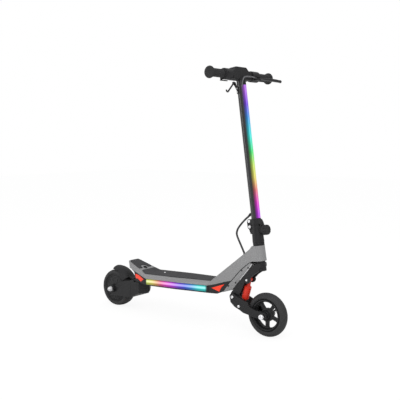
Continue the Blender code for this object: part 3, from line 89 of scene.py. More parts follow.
HEAD_ANGLE = atan2(-JOINTS["steer"]["axis"][0], JOINTS["steer"]["axis"][2])
STEERING = Matrix.Translation(JOINTS["steer"]["pos_m"]) @ Matrix.Rotation(-HEAD_ANGLE, 4, "Y")
FRONT_AXLE = Vector(JOINTS["front_wheel_spin"]["pos_m"])
REAR_AXLE = Vector(JOINTS["rear_wheel_spin"]["pos_m"])

# Steering frame: distances along the steering axis
STEM_LOW, STEM_TOP = 0.4240, 0.9620
LENS_LOW, LENS_TOP = 0.4430, 0.9565
STEM_R, STEM_BORE, LENS_R, LENS_SEAT_R = 0.0170, 0.0145, 0.0176, 0.0158
BAR_T, BAR_R, BAR_HALF = 0.9745, 0.0111, 0.1900
GRIP_R, FLANGE_R = 0.0150, 0.0220
HOOK_WIRE_R = 0.0031
REAR_AXLE_R = 0.0060
# Radius at which an outline meets its axis, so that the fan that closes it has a rim
AXIS_R = 0.05 * MM

# Half width of the frame seen from above, and its top face in the side view
PLAN_X = np.array((-300.0, -190.0, -20.0, 148.0, 335.0, 380.0)) * MM
PLAN_HALF = np.array((29.0, 53.0, 53.0, 42.0, 22.4, 21.8)) * MM
DECK_SLOPE, DECK_TOP_AT_ORIGIN = 0.04, 0.1781
KICK_X, KICK_SLOPE = -0.187, 0.355
HOOK_HOLE_X = -0.231
# Light bars: their run along the side, their edges below the deck's top, and their outer and inner face
LIGHT_X = (-0.1785, 0.1420)
LIGHT_HIGH, LIGHT_MIDDLE, LIGHT_LOW = 0.0204, 0.0317, 0.0430
LIGHT_OUT, LIGHT_IN = 0.0016, 0.0050

# Side view: bolts of the suspension
ARM_PIVOT = Vector(JOINTS["arm_swing"]["pos_m"])
SHOCK_TOP = Vector((0.3060, 0.0, 0.2050))
SHOCK_FOOT = Vector((0.2780, 0.0, 0.1032))


class ScooterSettings(PropertyGroup):
    """Colours and small sizes that a user would change."""

    frame_grey: FloatVectorProperty(
        name="Frame grey", description="Paint of the deck tray and the neck", subtype="COLOR",
        default=(0.235, 0.235, 0.238),
    )
    satin_black: FloatVectorProperty(
        name="Satin black", description="Paint of the forks, the stem and the wheels", subtype="COLOR",
        default=(0.011, 0.011, 0.012),
    )
    moulded_black: FloatVectorProperty(
        name="Moulded black", description="Plastic of the rails, the fender and the bar's parts",
        subtype="COLOR", default=(0.014, 0.014, 0.015),
    )
    rubber_black: FloatVectorProperty(
        name="Rubber black", description="Tyres, grips and mats", subtype="COLOR",
        default=(0.019, 0.019, 0.020),
    )
    reflector_red: FloatVectorProperty(
        name="Reflector red", description="The reflectors let into the rails", subtype="COLOR",
        default=(0.92, 0.050, 0.016),
    )
    shock_red: FloatVectorProperty(
        name="Shock red", description="Paint of the shock absorber", subtype="COLOR",
        default=(0.60, 0.028, 0.012),
    )
    glow: FloatProperty(
        name="Glow", description="Strength of the light strips", default=1.0, min=0.0, max=5.0,
    )
    tread_depth: FloatProperty(
        name="Tread depth", description="Depth of the tyres' grooves", default=0.9 * MM, min=0.0,
        max=2.0 * MM, unit="LENGTH",
    )
    mat_rib_height: FloatProperty(
        name="Mat rib height", description="Height of the ribs on the deck's mats", default=0.5 * MM,
        min=0.0, max=1.0 * MM, unit="LENGTH",
    )


def settings():
    """The add-on's settings in the open scene."""
    return bpy.context.scene.scooter


# Shader nodes


class Wire:
    """An output of a material's node; Python's operators on it add Math nodes."""

    def __init__(self, finish, socket):
        self.finish = finish
        self.socket = socket

    def math(self, operation, *values):
        return self.finish.add("ShaderNodeMath", dict(enumerate(values)), operation=operation)

    def __add__(self, other):
        return self.math("ADD", self, other)

    __radd__ = __add__

    def __sub__(self, other):
        return self.math("SUBTRACT", self, other)

    def __rsub__(self, other):
        return self.math("SUBTRACT", other, self)

    def __mul__(self, other):
        return self.math("MULTIPLY", self, other)

    __rmul__ = __mul__

    def __abs__(self):
        return self.math("ABSOLUTE", self)

    def sine(self):
        return self.math("SINE", self)

    def higher(self, other):
        return self.math("MAXIMUM", self, other)

    def ramp(self, low, high):
        """0 below low and 1 above high, with a smooth rise between them."""
        sockets = {"Value": self, "From Min": low, "From Max": high}
        return self.finish.add("ShaderNodeMapRange", sockets, interpolation_type="SMOOTHSTEP")


class NodeTree:
    """A tree of shader nodes, and the one way in which nodes are added to it."""

    def __init__(self, tree):
        self.tree = tree

    def feed(self, socket, value):
        if isinstance(value, Wire):
            self.tree.links.new(value.socket, socket)
        elif socket.type == "RGBA":
            socket.default_value = (*value, 1.0)
        else:
            socket.default_value = value

    def add(self, kind, sockets=None, output=0, stops=None, **options):
        """Any node: its options first, then its sockets by name or number; returns one output."""
        node = self.tree.nodes.new(kind)
        for name, value in options.items():
            setattr(node, name, value)
        if stops:
            ramp = node.color_ramp
            while len(ramp.elements) < len(stops):
                ramp.elements.new(0.5)
            for element, (place, colour) in zip(ramp.elements, sorted(stops)):
                element.position = place
                element.color = (*colour, 1.0)
        for name, value in (sockets or {}).items():
            self.feed(node.inputs[name], value)
        return Wire(self, node.outputs[output])

    def seen_directly(self):
        """1 for rays from the camera and through clear surfaces, and 0 for the rest."""
        ray = self.add("ShaderNodeLightPath", output="Is Camera Ray")
        return ray.higher(self.add("ShaderNodeLightPath", output="Is Transmission Ray"))


class Finish(NodeTree):
    """A material: one Principled shader, and the nodes that vary it over the surface."""

    def __init__(self, name, colour, roughness, **constants):
        self.material = bpy.data.materials.new(name)
        self.material.use_nodes = True
        super().__init__(self.material.node_tree)
        self.shader = self.tree.nodes["Principled BSDF"]
        self.set("Base Color", colour)
        self.set("Roughness", roughness)
        for socket, value in constants.items():
            self.set(socket.replace("_", " ").title().replace("Ior", "IOR"), value)
        self.material.diffuse_color = (*colour, 1.0)

    def set(self, socket, value):
        self.feed(self.shader.inputs[socket], value)

    def place(self, stretch=(1.0, 1.0, 1.0)):
        """Object coordinates, stretched along the three axes."""
        here = self.add("ShaderNodeTexCoord", output="Object")
        return self.add("ShaderNodeMapping", {"Vector": here, "Scale": stretch})

    def along(self, direction, start=(0.0, 0.0, 0.0)):
        """Distance of a point from a start, measured along a direction, times the direction's length."""
        here = self.add("ShaderNodeTexCoord", output="Object")
        offset = self.add("ShaderNodeVectorMath", {0: here, 1: start}, operation="SUBTRACT")
        sockets = {0: offset, 1: direction}
        return self.add("ShaderNodeVectorMath", sockets, output="Value", operation="DOT_PRODUCT")

    def waves(self, *direction):
        """Sine of the place along a direction whose length is 2 pi over the wave's length."""
        return self.along(direction).sine()

    def noise(self, scale, detail=2.0, where=None):
        sockets = {"Vector": where or self.place(), "Scale": scale, "Detail": detail}
        return self.add("ShaderNodeTexNoise", sockets)

    def drawn_lines(self, *stretch):
        return self.noise(1.0, 1.0, self.place(stretch))

    def cells(self, scale):
        return self.add("ShaderNodeTexVoronoi", {"Vector": self.place(), "Scale": scale})

    def mix(self, share, first, second):
        """The first colour where share is 0, the second where it is 1."""
        return self.add("ShaderNodeMix", {0: share, 6: first, 7: second}, output=2, data_type="RGBA")

    def bump(self, height, distance, strength):
        sockets = {"Height": height, "Distance": distance, "Strength": strength}
        self.set("Normal", self.add("ShaderNodeBump", sockets))

    def shade(self, share, first, second):
        """Base colour: the first where share is 0, the second where it is 1."""
        self.set("Base Color", self.mix(share, first, second))

    def vary(self, colour, change, scale, detail=3.0):
        """Base colour between two shades of itself, mixed by noise."""
        self.shade(self.noise(scale, detail), *shades(colour, 1.0 - change, 1.0 + change))

    def gloss(self, low, span, scale, detail=2.0):
        """Roughness from low to low + span, by noise."""
        self.set("Roughness", low + self.noise(scale, detail) * span)


def shades(colour, *factors):
    """The same colour made darker or lighter by each factor."""
    return [tuple(min(1.0, c * factor) for c in colour) for factor in factors]


def coat(name, colour, change, gloss, **constants):
    """A finish of one colour that noise varies: its change and scale, and its roughness as in gloss."""
    paint = Finish(name, colour, gloss[0], **constants)
    paint.vary(colour, *change)
    paint.gloss(*gloss)
    return paint


def grey_paint():
    """Satin metallic grey: fine flakes in the colour, a faint orange peel in the surface."""
    colour = settings().frame_grey
    paint = Finish("grey_paint", colour, 0.46, metallic=0.25, specular_ior_level=0.4)
    dark, light, flake = shades(colour, 0.95, 1.05, 1.7)
    flakes = paint.noise(2600.0, 1.0).ramp(0.35, 0.75)
    paint.shade(flakes * 0.18, paint.mix(paint.noise(9.0, 3.0), dark, light), flake)
    paint.gloss(0.40, 0.12, 60.0, 4.0)
    paint.bump(paint.noise(900.0), 0.02 * MM, 0.5)
    return paint


def black_paint():
    """Satin black powder coat: fine pebbled surface, slightly uneven gloss."""
    gloss = (0.36, 0.16, 120.0, 3.0)
    paint = coat("black_paint", settings().satin_black, (0.12, 40.0), gloss, specular_ior_level=0.28)
    paint.bump(paint.noise(1500.0), 0.03 * MM, 0.6)
    return paint


def stem_black():
    """Black anodised aluminium of the stem: smoother than the paint, with fine drawn lines up it."""
    gloss = (0.29, 0.12, 140.0, 3.0)
    metal = coat("stem_black", settings().satin_black, (0.15, 90.0), gloss, specular_ior_level=0.62)
    metal.bump(metal.drawn_lines(1500.0, 1500.0, 30.0), 0.02 * MM, 0.3)
    return metal


def black_plastic():
    """Moulded plastic with an etched grain of small cells."""
    gloss = (0.52, 0.16, 200.0, 3.0)
    plastic = coat("black_plastic", settings().moulded_black, (0.10, 55.0), gloss, specular_ior_level=0.28)
    plastic.bump(plastic.cells(1400.0), 0.05 * MM, 0.5)
    return plastic


def red_paint():
    """Glossy red enamel of the shock absorber."""
    gloss = (0.28, 0.12, 500.0)
    paint = coat("red_paint", settings().shock_red, (0.08, 120.0), gloss, specular_ior_level=0.3)
    paint.bump(paint.noise(1200.0), 0.02 * MM, 0.5)
    return paint


def bright_steel():
    """Zinc-plated steel with turning marks and a few dull spots."""
    steel = coat("bright_steel", (0.84, 0.84, 0.85), (0.10, 260.0), (0.22, 0.2, 420.0, 3.0), metallic=0.6)
    steel.bump(steel.drawn_lines(2400.0, 90.0, 2400.0), 0.02 * MM, 0.5)
    return steel


def dark_steel():
    """Black oxide on steel and on the bar's tube, with fine drawn lines along the bar."""
    steel = coat("dark_steel", (0.040, 0.040, 0.042), (0.15, 150.0), (0.32, 0.16, 350.0), metallic=0.7)
    steel.bump(steel.drawn_lines(1600.0, 60.0, 1600.0), 0.02 * MM, 0.4)
    return steel


def dusty_rubber(name, colour, dust, gloss, level):
    """Matt rubber, lighter where there is dust; dust: its noise's scale, its ends, its share and shade."""
    scale, low, high, share, lighter = dust
    rubber = Finish(name, colour, gloss[0], specular_ior_level=level)
    rubber.shade(rubber.noise(scale, 5.0).ramp(low, high) * share, colour, shades(colour, lighter)[0])
    rubber.gloss(*gloss)
    return rubber


def soft_rubber():
    """Matt rubber of the grips, with a fine tooth and a little dust."""
    dust, gloss = (30.0, 0.5, 0.9, 0.5, 1.6), (0.74, 0.16, 300.0)
    rubber = dusty_rubber("soft_rubber", settings().rubber_black, dust, gloss, 0.35)
    rubber.bump(rubber.cells(1900.0), 0.06 * MM, 0.5)
    return rubber


def mat_rubber():
    """Rubber of the mats, trodden grey, with patches of dust that noise places."""
    colour = shades(settings().rubber_black, 2.0)[0]
    rubber = dusty_rubber("mat_rubber", colour, (22.0, 0.4, 0.8, 0.6, 1.5), (0.78, 0.14, 300.0), 0.4)
    rubber.bump(rubber.cells(1500.0), 0.06 * MM, 0.5)
    return rubber


def tyre_rubber():
    """Tyre rubber: moulding sheen, with dust where the noise is high."""
    dust, gloss = (45.0, 0.45, 0.85, 0.6, 1.5), (0.58, 0.22, 150.0, 3.0)
    rubber = dusty_rubber("tyre_rubber", settings().rubber_black, dust, gloss, 0.45)
    rubber.bump(rubber.noise(1100.0, 3.0), 0.05 * MM, 0.5)
    return rubber


def button_rubber():
    """Silicone of the power button, its colour a little uneven by noise."""
    colour = (0.010, 0.010, 0.011)
    rubber = Finish("button_rubber", colour, 0.6, specular_ior_level=0.3)
    rubber.vary(colour, 0.3, 400.0)
    rubber.bump(rubber.noise(1800.0), 0.04 * MM, 0.5)
    return rubber


def red_reflector():
    """Reflector: red plastic over a field of small prisms, with a faint painted glow of its own red, though it is
    no lamp.
    """
    colour = settings().reflector_red
    lens = Finish("red_reflector", colour, 0.25, specular_ior_level=0.35, emission_strength=0.2)
    prisms = lens.cells(420.0)
    red = lens.mix(prisms.ramp(0.1, 0.7), colour, shades(colour, 0.72)[0])
    lens.set("Base Color", red)
    # Painted glow: the reflector's red is also given off as light, at a fifth of full strength
    lens.set("Emission Color", red)
    lens.bump(prisms, 0.25 * MM, 0.35)
    return lens


# Colours of the light strips, as hues in the order in which they follow each other
LILAC, INDIGO, BLUE, AZURE = (0.56, 0.14, 1.0), (0.22, 0.05, 1.0), (0.04, 0.10, 1.0), (0.03, 0.34, 1.0)
CYAN, GREEN, LIME, YELLOW = (0.03, 1.0, 0.95), (0.06, 1.0, 0.20), (0.75, 1.0, 0.14), (1.0, 0.85, 0.15)
ORANGE, CORAL, PINK = (1.0, 0.45, 0.14), (1.0, 0.20, 0.22), (1.0, 0.10, 0.32)
MAGENTA, PURPLE = (1.0, 0.03, 0.80), (0.66, 0.03, 1.0)
BLACK, WHITE = (0.0, 0.0, 0.0), (1.0, 1.0, 1.0)

# Height along the stem, in the steering frame
STEM_COLOURS = (
    (0.443, PURPLE), (0.460, PURPLE), (0.500, MAGENTA), (0.547, CORAL), (0.592, YELLOW), (0.636, LIME),
    (0.687, GREEN), (0.750, CYAN), (0.820, AZURE), (0.866, INDIGO), (0.915, LILAC), (0.957, LILAC),
)
# Distance ahead of the origin, along the deck's side
DECK_COLOURS = (
    (-0.178, LIME), (-0.142, YELLOW), (-0.118, ORANGE), (-0.097, PINK), (-0.064, MAGENTA),
    (-0.032, PURPLE), (0.000, INDIGO), (0.028, BLUE), (0.058, AZURE), (0.095, CYAN), (0.142, CYAN),
)
STEM_LIT_TOP = 0.9375
DECK_LIT = (-0.1785, 0.1320)


def light_strip(name, areas, colours, paleness, fair, dim):
    """Diffusing lens over a row of lamps: the hue runs along it, from pale over the lamps to deep
    at the edges. areas gives the place along it and the shares that are deep, pale and lit; the
    last three numbers are the share of white over the lamps, and of the hue in the middle and at
    the edges."""
    low, high = colours[0][0], colours[-1][0]
    stops = [((spot - low) / (high - low), colour) for spot, colour in colours]
    glow = settings().glow
    lens = Finish(name, (0.010, 0.010, 0.011), 0.35, emission_strength=glow, specular_ior_level=0.25)
    along, deep, pale, lit = areas(lens)
    place = lens.add("ShaderNodeMapRange", {"Value": along, "From Min": low, "From Max": high})
    hue = lens.add("ShaderNodeValToRGB", {"Fac": place}, stops=stops)
    middle = lens.mix(pale, lens.mix(1.0 - fair, hue, BLACK), lens.mix(paleness, hue, WHITE))
    light = lens.mix(deep, middle, lens.mix(1.0 - dim, hue, BLACK))
    lens.set("Emission Color", lens.mix(lit, BLACK, light))
    lens.gloss(0.28, 0.14, 220.0)
    lens.bump(lens.noise(700.0), 0.04 * MM, 0.4)
    return lens


def stem_strip():
    """Strip up the stem's front: colour by height, two pale lines left and right of the middle."""

    def areas(lens):
        height = lens.along(STEERING.to_3x3() @ UP, STEERING.translation)
        beside = abs(lens.along(LEFT))
        pale = 1.0 - abs(beside - 0.0034).ramp(0.0006, 0.0036)
        lit = 1.0 - height.ramp(STEM_LIT_TOP - 0.0010, STEM_LIT_TOP + 0.0010)
        return height, beside.ramp(0.0072, 0.0150), pale, lit

    return light_strip("stem_strip", areas, STEM_COLOURS, 0.13, 0.50, 0.12)


def deck_strip():
    """Strip along the deck: colour by length, pale above its middle and deep at both edges."""
    normal = Vector((-DECK_SLOPE, 0.0, 1.0)).normalized()

    def areas(lens):
        length = lens.along(AHEAD)
        above = lens.along(normal, (0.0, 0.0, DECK_TOP_AT_ORIGIN - LIGHT_MIDDLE))
        deep = (1.0 - above.ramp(-0.0070, -0.0010)).higher(above.ramp(0.0085, 0.0108))
        pale = 1.0 - abs(above - 0.0030).ramp(0.0018, 0.0066)
        low, high = DECK_LIT
        lit = length.ramp(low, low + 0.006) * (1.0 - length.ramp(high - 0.008, high + 0.004))
        return length, deep, pale, lit

    return light_strip("deck_strip", areas, DECK_COLOURS, 0.36, 0.66, 0.34)


def cable_sheath():
    """Cable in a woven sleeve: two sets of fine threads that cross."""
    sheath = Finish("cable_sheath", (0.022, 0.022, 0.024), 0.6)
    weave = sheath.waves(2600.0, 1700.0, 2600.0).higher(sheath.waves(2600.0, -1700.0, 2600.0))
    sheath.shade(weave.ramp(0.2, 1.0), (0.014, 0.014, 0.015), (0.040, 0.040, 0.042))
    sheath.bump(weave, 0.12 * MM, 0.6)
    return sheath


def bright_sheath():
    """Silver-grey sheath of the brake cable, its wound wire showing as fine rings, painted lighter on each
    turn and darker between turns: painted highlight and shade.
    """
    sheath = Finish("bright_sheath", (0.11, 0.11, 0.12), 0.35, metallic=0.3)
    rings = sheath.waves(2600.0, 2600.0, 0.0)
    # Painted highlight and shade: the colour follows the rings' relief
    sheath.shade(rings.ramp(-0.4, 0.8), (0.07, 0.07, 0.075), (0.16, 0.16, 0.17))
    sheath.bump(rings, 0.05 * MM, 0.4)
    return sheath


def screen_glass():
    """Dark glass with a fine grid of unlit cells behind it."""
    glass = Finish("screen_glass", (0.008, 0.009, 0.011), 0.08, coat_weight=1.0, coat_roughness=0.03)
    grid = abs(glass.waves(0.0, 900.0, 0.0)).higher(abs(glass.waves(900.0, 0.0, 130.0)))
    glass.shade(grid.ramp(0.93, 0.99), (0.012, 0.014, 0.017), (0.004, 0.004, 0.005))
    return glass


def battery_wrap():
    """Blue shrink wrap, creased over the cells below it."""
    cell = 2.0 * pi / 0.0185
    wrap = coat("battery_wrap", (0.02, 0.09, 0.32), (0.2, 60.0), (0.28, 0.2, 90.0, 4.0))
    cells = wrap.waves(0.0, cell, 0.0) * wrap.waves(cell, 0.0, 0.0)
    wrap.bump(cells + wrap.noise(160.0, 3.0) * 0.4, 0.6 * MM, 0.7)
    return wrap


def controller_case():
    """Black anodised case with cooling fins across it, painted lighter on the fins and darker in the gaps
    between them: painted highlight and shade.
    """
    case = Finish("controller_case", (0.05, 0.05, 0.055), 0.4, metallic=0.8)
    fins = case.waves(2.0 * pi / 0.005, 0.0, 0.0)
    # Painted shade in the gaps between the fins, and a painted highlight on their tops
    case.shade(fins.ramp(-0.2, 0.6), (0.02, 0.02, 0.022), (0.07, 0.07, 0.075))
    case.bump(fins.ramp(-0.3, 0.3), 0.8 * MM, 0.7)
    return case


def copper_windings():
    """Enamelled copper wire, wound across the motor's core; each turn is painted lighter on its crown and darker
    between turns: painted highlight and shade.
    """
    copper = Finish("copper_windings", (0.55, 0.25, 0.12), 0.35, metallic=0.9)
    wires = copper.waves(0.0, 2.0 * pi / 0.0009, 0.0)
    # Painted highlight and shade: the colour follows the wires' relief, as light would
    copper.shade(wires.ramp(-0.8, 0.8), (0.30, 0.11, 0.05), (0.70, 0.33, 0.16))
    copper.bump(wires, 0.3 * MM, 0.6)
    return copper


# The record's slots, and after them the finishes that only some pieces of a slot have
FINISHES = {
    "frame_grey": grey_paint, "black_paint": black_paint, "black_plastic": black_plastic,
    "grip_rubber": soft_rubber, "tyre": tyre_rubber, "light_lens": deck_strip, "red_lens": red_reflector,
    "battery_wrap": battery_wrap, "controller_case": controller_case, "dark_steel": dark_steel,
    "bright_steel": bright_steel, "copper": copper_windings, "cable_sheath": cable_sheath,
    "red_paint": red_paint, "screen": screen_glass, "button_rubber": button_rubber,
    "stem_black": stem_black, "stem_strip": stem_strip, "mat_rubber": mat_rubber,
    "bright_sheath": bright_sheath,
}
made_finishes = {}


def finish(name):
    """A material by its name in the table, made when it is first asked for."""
    if name not in made_finishes:
        made_finishes[name] = FINISHES[name]().material
    return made_finishes[name]


# Surfaces


def placed(points, matrix):
    """Points of shape (..., 3) carried by a 4x4 matrix: its turn times the point, plus its offset."""
    turn = np.array(matrix)
    return points @ turn[:3, :3].T + turn[:3, 3]


def grid_of(*columns):
    """Arrays that broadcast to one shape, side by side as points."""
    return np.stack(np.broadcast_arrays(*columns), axis=-1)


def grid_faces(rows, columns, wrap_rows, wrap_columns):
    """Corner numbers of the quads between neighbouring rows and columns of a grid of points."""
    r, c = np.meshgrid(
        np.arange(rows - (not wrap_rows)), np.arange(columns - (not wrap_columns)), indexing="ij",
    )
    after_r, after_c = (r + 1) % rows, (c + 1) % columns
    corners = (r * columns + c, after_r * columns + c, after_r * columns + after_c, r * columns + after_c)
    return np.stack(corners, axis=-1).reshape(-1, 4)


def closed_tube(points):
    """A grid whose columns run round and whose end rows are closed by a fan onto their middle."""
    rows, columns = points.shape[:2]
    quads = grid_faces(rows, columns, False, True)
    middles = np.stack([points[0].mean(axis=0), points[-1].mean(axis=0)])
    vertices = np.vstack([points.reshape(-1, 3), middles])
    here, after = np.arange(columns), (np.arange(columns) + 1) % columns
    first = np.stack([np.full(columns, rows * columns), here, after], axis=-1)
    last_row = (rows - 1) * columns
    last = np.stack([np.full(columns, rows * columns + 1), last_row + after, last_row + here], axis=-1)
    return vertices, [quads, first, last]


def closed_ring(points):
    """A grid that closes on itself both ways, like a tyre."""
    rows, columns = points.shape[:2]
    return points.reshape(-1, 3), [grid_faces(rows, columns, True, True)]


def closed_slab(top, bottom):
    """Two grids of the same shape, one over the other, stitched together round their edge."""
    rows, columns = top.shape[:2]
    count = rows * columns
    quads = grid_faces(rows, columns, False, False)
    number = np.arange(count).reshape(rows, columns)
    edge = np.concatenate([number[0, :-1], number[:-1, -1], number[-1, :0:-1], number[:0:-1, 0]])
    after = np.roll(edge, -1)
    wall = np.stack([edge, after, after + count, edge + count], axis=-1)
    return np.vstack([top.reshape(-1, 3), bottom.reshape(-1, 3)]), [quads, quads[:, ::-1] + count, wall]


def signed_volume(vertices, faces):
    """Sum over a fan of triangles of each face: a sixth of a . (b x c)."""
    total = 0.0
    for group in faces:
        a = vertices[group[:, 0]]
        for k in range(1, group.shape[1] - 1):
            total += np.einsum("ij,ij->", a, np.cross(vertices[group[:, k]], vertices[group[:, k + 1]]))
    return total / 6.0


def solid_mesh(name, parts, sharp=50.0):
    """One mesh of closed parts, each turned so that its volume is positive, shaded smooth."""
    vertices, faces, count = [], [], 0
    for points, groups in parts:
        outward = signed_volume(points, groups) > 0.0
        for group in groups:
            faces += ((group if outward else group[:, ::-1]) + count).tolist()
        vertices.append(points)
        count += len(points)
    mesh = bpy.data.meshes.new(name)
    mesh.from_pydata(np.vstack(vertices).tolist(), [], faces)
    mesh.shade_smooth()
    mesh.set_sharp_from_angle(angle=radians(sharp))
    return mesh


def piece(name, mesh, *nodes, body=None, slot=None, look=None, blend=None):
    """A finished piece that stands for CAD nodes, or that rides on a body of its own choice, or that
    is left where it stands in world space when blend is given; blend holds two bodies and the places
    where a bend between them would start and end, but only whether it is given is read. Its finish
    is its slot's, unless look names another."""
    thing = bpy.data.objects.new(name, mesh)
    bpy.context.scene.collection.objects.link(thing)
    slot = slot or SLOT[nodes[0]]
    mesh.materials.append(finish(look or slot))
    if blend:
        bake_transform(thing)
    else:
        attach(thing, body or BODY[nodes[0]])
    if nodes:
        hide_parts(*nodes)
    return thing


def make(name, parts, *nodes, sharp=50.0, **options):
    """A piece from its closed parts: see solid_mesh and piece."""
    return piece(name, solid_mesh(name, parts, sharp), *nodes, **options)


def rounded(corners, radius, steps=4):
    """A closed outline with each corner cut by a curve: (1-s)^2 a + 2s(1-s) b + s^2 c, where b is the
    corner and a and c lie at the radius before and after it, or half an edge away if that is nearer."""
    corners = np.asarray(corners, float)
    radius = np.broadcast_to(np.asarray(radius, float), len(corners))[:, None]
    before, after = np.roll(corners, 1, axis=0) - corners, np.roll(corners, -1, axis=0) - corners
    lengths = [np.linalg.norm(edge, axis=1, keepdims=True) for edge in (before, after)]
    starts, ends = [
        corners + edge / length * np.minimum(radius, length * 0.49)
        for edge, length in zip((before, after), lengths)
    ]
    s = np.linspace(0.0, 1.0, steps)[None, :, None]
    curve = (1 - s) ** 2 * starts[:, None] + 2 * s * (1 - s) * corners[:, None] + s**2 * ends[:, None]
    return curve.reshape(-1, corners.shape[1])


def tube_outline(inner, outer, half, radius):
    """Outline of a short tube: its bore, its outside, half its length, and its edges' radius, in mm."""
    corners = np.array([(inner, -half), (outer, -half), (outer, half), (inner, half)])
    return rounded(corners * MM, radius * MM)


def turned(outline, steps, matrix, ripple=None):
    """A closed outline of (radius, height) carried round the Z axis of a matrix:
    x = r cos(a), y = r sin(a), z = h; ripple(a, r, h) gives what is added to the radius, and steps is
    a number of angles or the angles themselves."""
    radius, height = np.asarray(outline, float).T[:, :, None]
    even = np.isscalar(steps)
    angle = (np.linspace(0.0, 2.0 * pi, steps, endpoint=False) if even else steps)[None, :]
    if ripple is not None:
        radius = radius + ripple(angle, radius, height)
    return closed_ring(placed(grid_of(radius * np.cos(angle), radius * np.sin(angle), height), matrix))


def spun(outline, steps, matrix, ripple=None):
    """An open outline from axis to axis, carried round the Z axis of a matrix and closed by fans."""
    vertices, _ = turned(outline, steps, matrix, ripple)
    return closed_tube(vertices.reshape(len(outline), steps, 3))


def across(centre):
    """A matrix at a point, with its Z axis to the rider's left."""
    return Matrix.Translation(centre) @ Matrix.Rotation(radians(-90.0), 4, "X")


def drop(distance, radius):
    """How far a rounded edge lies below its face: r - sqrt(r^2 - (r - d)^2) at a distance d from it."""
    inside = np.clip(radius - distance, 0.0, radius)
    return radius - np.sqrt(radius**2 - inside**2)


def stations(low, high, radius, count):
    """Places from low to high, closer together within a radius of both ends."""
    near = radius * (1.0 - np.cos(np.linspace(0.0, pi / 2.0, 5)))[:-1]
    return np.concatenate([low + near, np.linspace(low + radius, high - radius, count), (high - near)[::-1]])


def run_of(line):
    """Distance along a line up to each of its points."""
    return np.concatenate([[0.0], np.cumsum(np.linalg.norm(np.diff(line, axis=0), axis=1))])


def points_at(places, run, line):
    """Points of a line at distances along it, between the distances of its own points."""
    return np.stack([np.interp(places, run, column) for column in line.T], axis=-1)


def finer(outline, spacing, closed=True):
    """The same outline with more points, none farther than the spacing from the next."""
    line = np.vstack([outline, outline[:1]]) if closed else np.asarray(outline, float)
    run = run_of(line)
    places = np.union1d(run[:-1] if closed else run, np.arange(spacing / 2.0, run[-1], spacing))
    places = places[np.concatenate([[True], np.diff(places) > 0.02 * MM])]
    return points_at(places, run, line)


def mirrored(half):
    """An outline of (radius, height) from its upper half: the same again at minus the height."""
    return [(r, -h) for r, h in reversed(half)] + list(half)


def hexagon(angle):
    """Share of its corner's radius that a hexagon reaches: cos 30 / cos of the angle from a face."""
    return cos(radians(30.0)) / np.cos(np.mod(angle + pi / 6.0, pi / 3.0) - pi / 6.0)


def bolt(matrix, *sizes):
    """Through bolt: the same domed head with a hexagonal socket at both ends of its shank. Sizes in
    mm: radius of the shank and the head, half the shank's length, the head's thickness, and the
    socket's radius."""
    shank, head, reach, thick, socket = [size * MM for size in sizes]
    top, deep, neck = reach + thick, thick * 0.6, socket * 1.3
    dome = np.radians(np.linspace(20.0, 90.0, 7))
    crown = [(neck + (head - neck) * sin(a), reach + thick * (0.35 + 0.65 * cos(a))) for a in dome]
    half = [(shank, reach), (head, reach)] + crown[::-1]
    half += [(socket * 1.15, top), (socket, top - 0.2 * MM), (socket, top - deep), (AXIS_R, top - deep)]

    def ripple(angle, radius, height):
        in_socket = (radius <= socket) & (radius > 0.1 * MM) & (np.abs(height) > reach)
        return np.where(in_socket, radius * (hexagon(angle) - 1.0), 0.0)

    return spun(mirrored(half), 48, matrix, ripple)


def rod_between(start, end, radius, steps=24):
    """Round bar with a small chamfer at both ends."""
    start, end = Vector(start), Vector(end)
    axis = end - start
    edge = min(0.3 * MM, radius * 0.3)
    outline = [(AXIS_R, 0.0), (radius - edge, 0.0), (radius, edge), (radius, axis.length - edge)]
    outline += [(radius - edge, axis.length), (AXIS_R, axis.length)]
    matrix = Matrix.Translation(start) @ axis.to_track_quat("Z", "Y").to_matrix().to_4x4()
    return spun(outline, steps, matrix)


def blunt(wave, power):
    """A sine or cosine with its sign kept and its size raised to a power."""
    return np.sign(wave) * np.abs(wave) ** power


def spoke(centre, angle, reach, width, thick, shift=0.0):
    """Bar from one radius to another in a wheel's plane; width and thick give its half sizes by the
    radius, and its section is |cos|^0.45 by |sin|^0.45 of them."""
    radius = np.linspace(*reach, 26)[:, None]
    turn = np.linspace(0.0, 2.0 * pi, 32, endpoint=False)[None, :]
    side = blunt(np.cos(turn), 0.45) * width(radius)
    out = blunt(np.sin(turn), 0.45) * thick(radius) + shift
    x = radius * cos(angle) - side * sin(angle)
    z = radius * sin(angle) + side * cos(angle)
    return closed_tube(np.array(centre) + grid_of(x, out, z))


def tube_along(path, radius, facets=20):
    """Round tube on any smooth path: path + r (cos a u + sin a v), where u is square to the path and
    as near as it can be to the world's left, or up where the path runs sideways, and v to both."""
    path = np.asarray(path, float)
    tangent = np.gradient(path, axis=0)
    tangent /= np.linalg.norm(tangent, axis=1, keepdims=True)
    aside = np.array(UP if np.ptp(path[:, 1]) > np.ptp(path[:, 2]) else LEFT)
    u = aside - tangent * (tangent @ aside)[:, None]
    u /= np.linalg.norm(u, axis=1, keepdims=True)
    v = np.cross(tangent, u)
    angle = np.linspace(0.0, 2.0 * pi, facets, endpoint=False)[None, :, None]
    radius = np.broadcast_to(np.asarray(radius, float), len(path))[:, None, None]
    return closed_tube(path[:, None] + radius * (np.cos(angle) * u[:, None] + np.sin(angle) * v[:, None]))


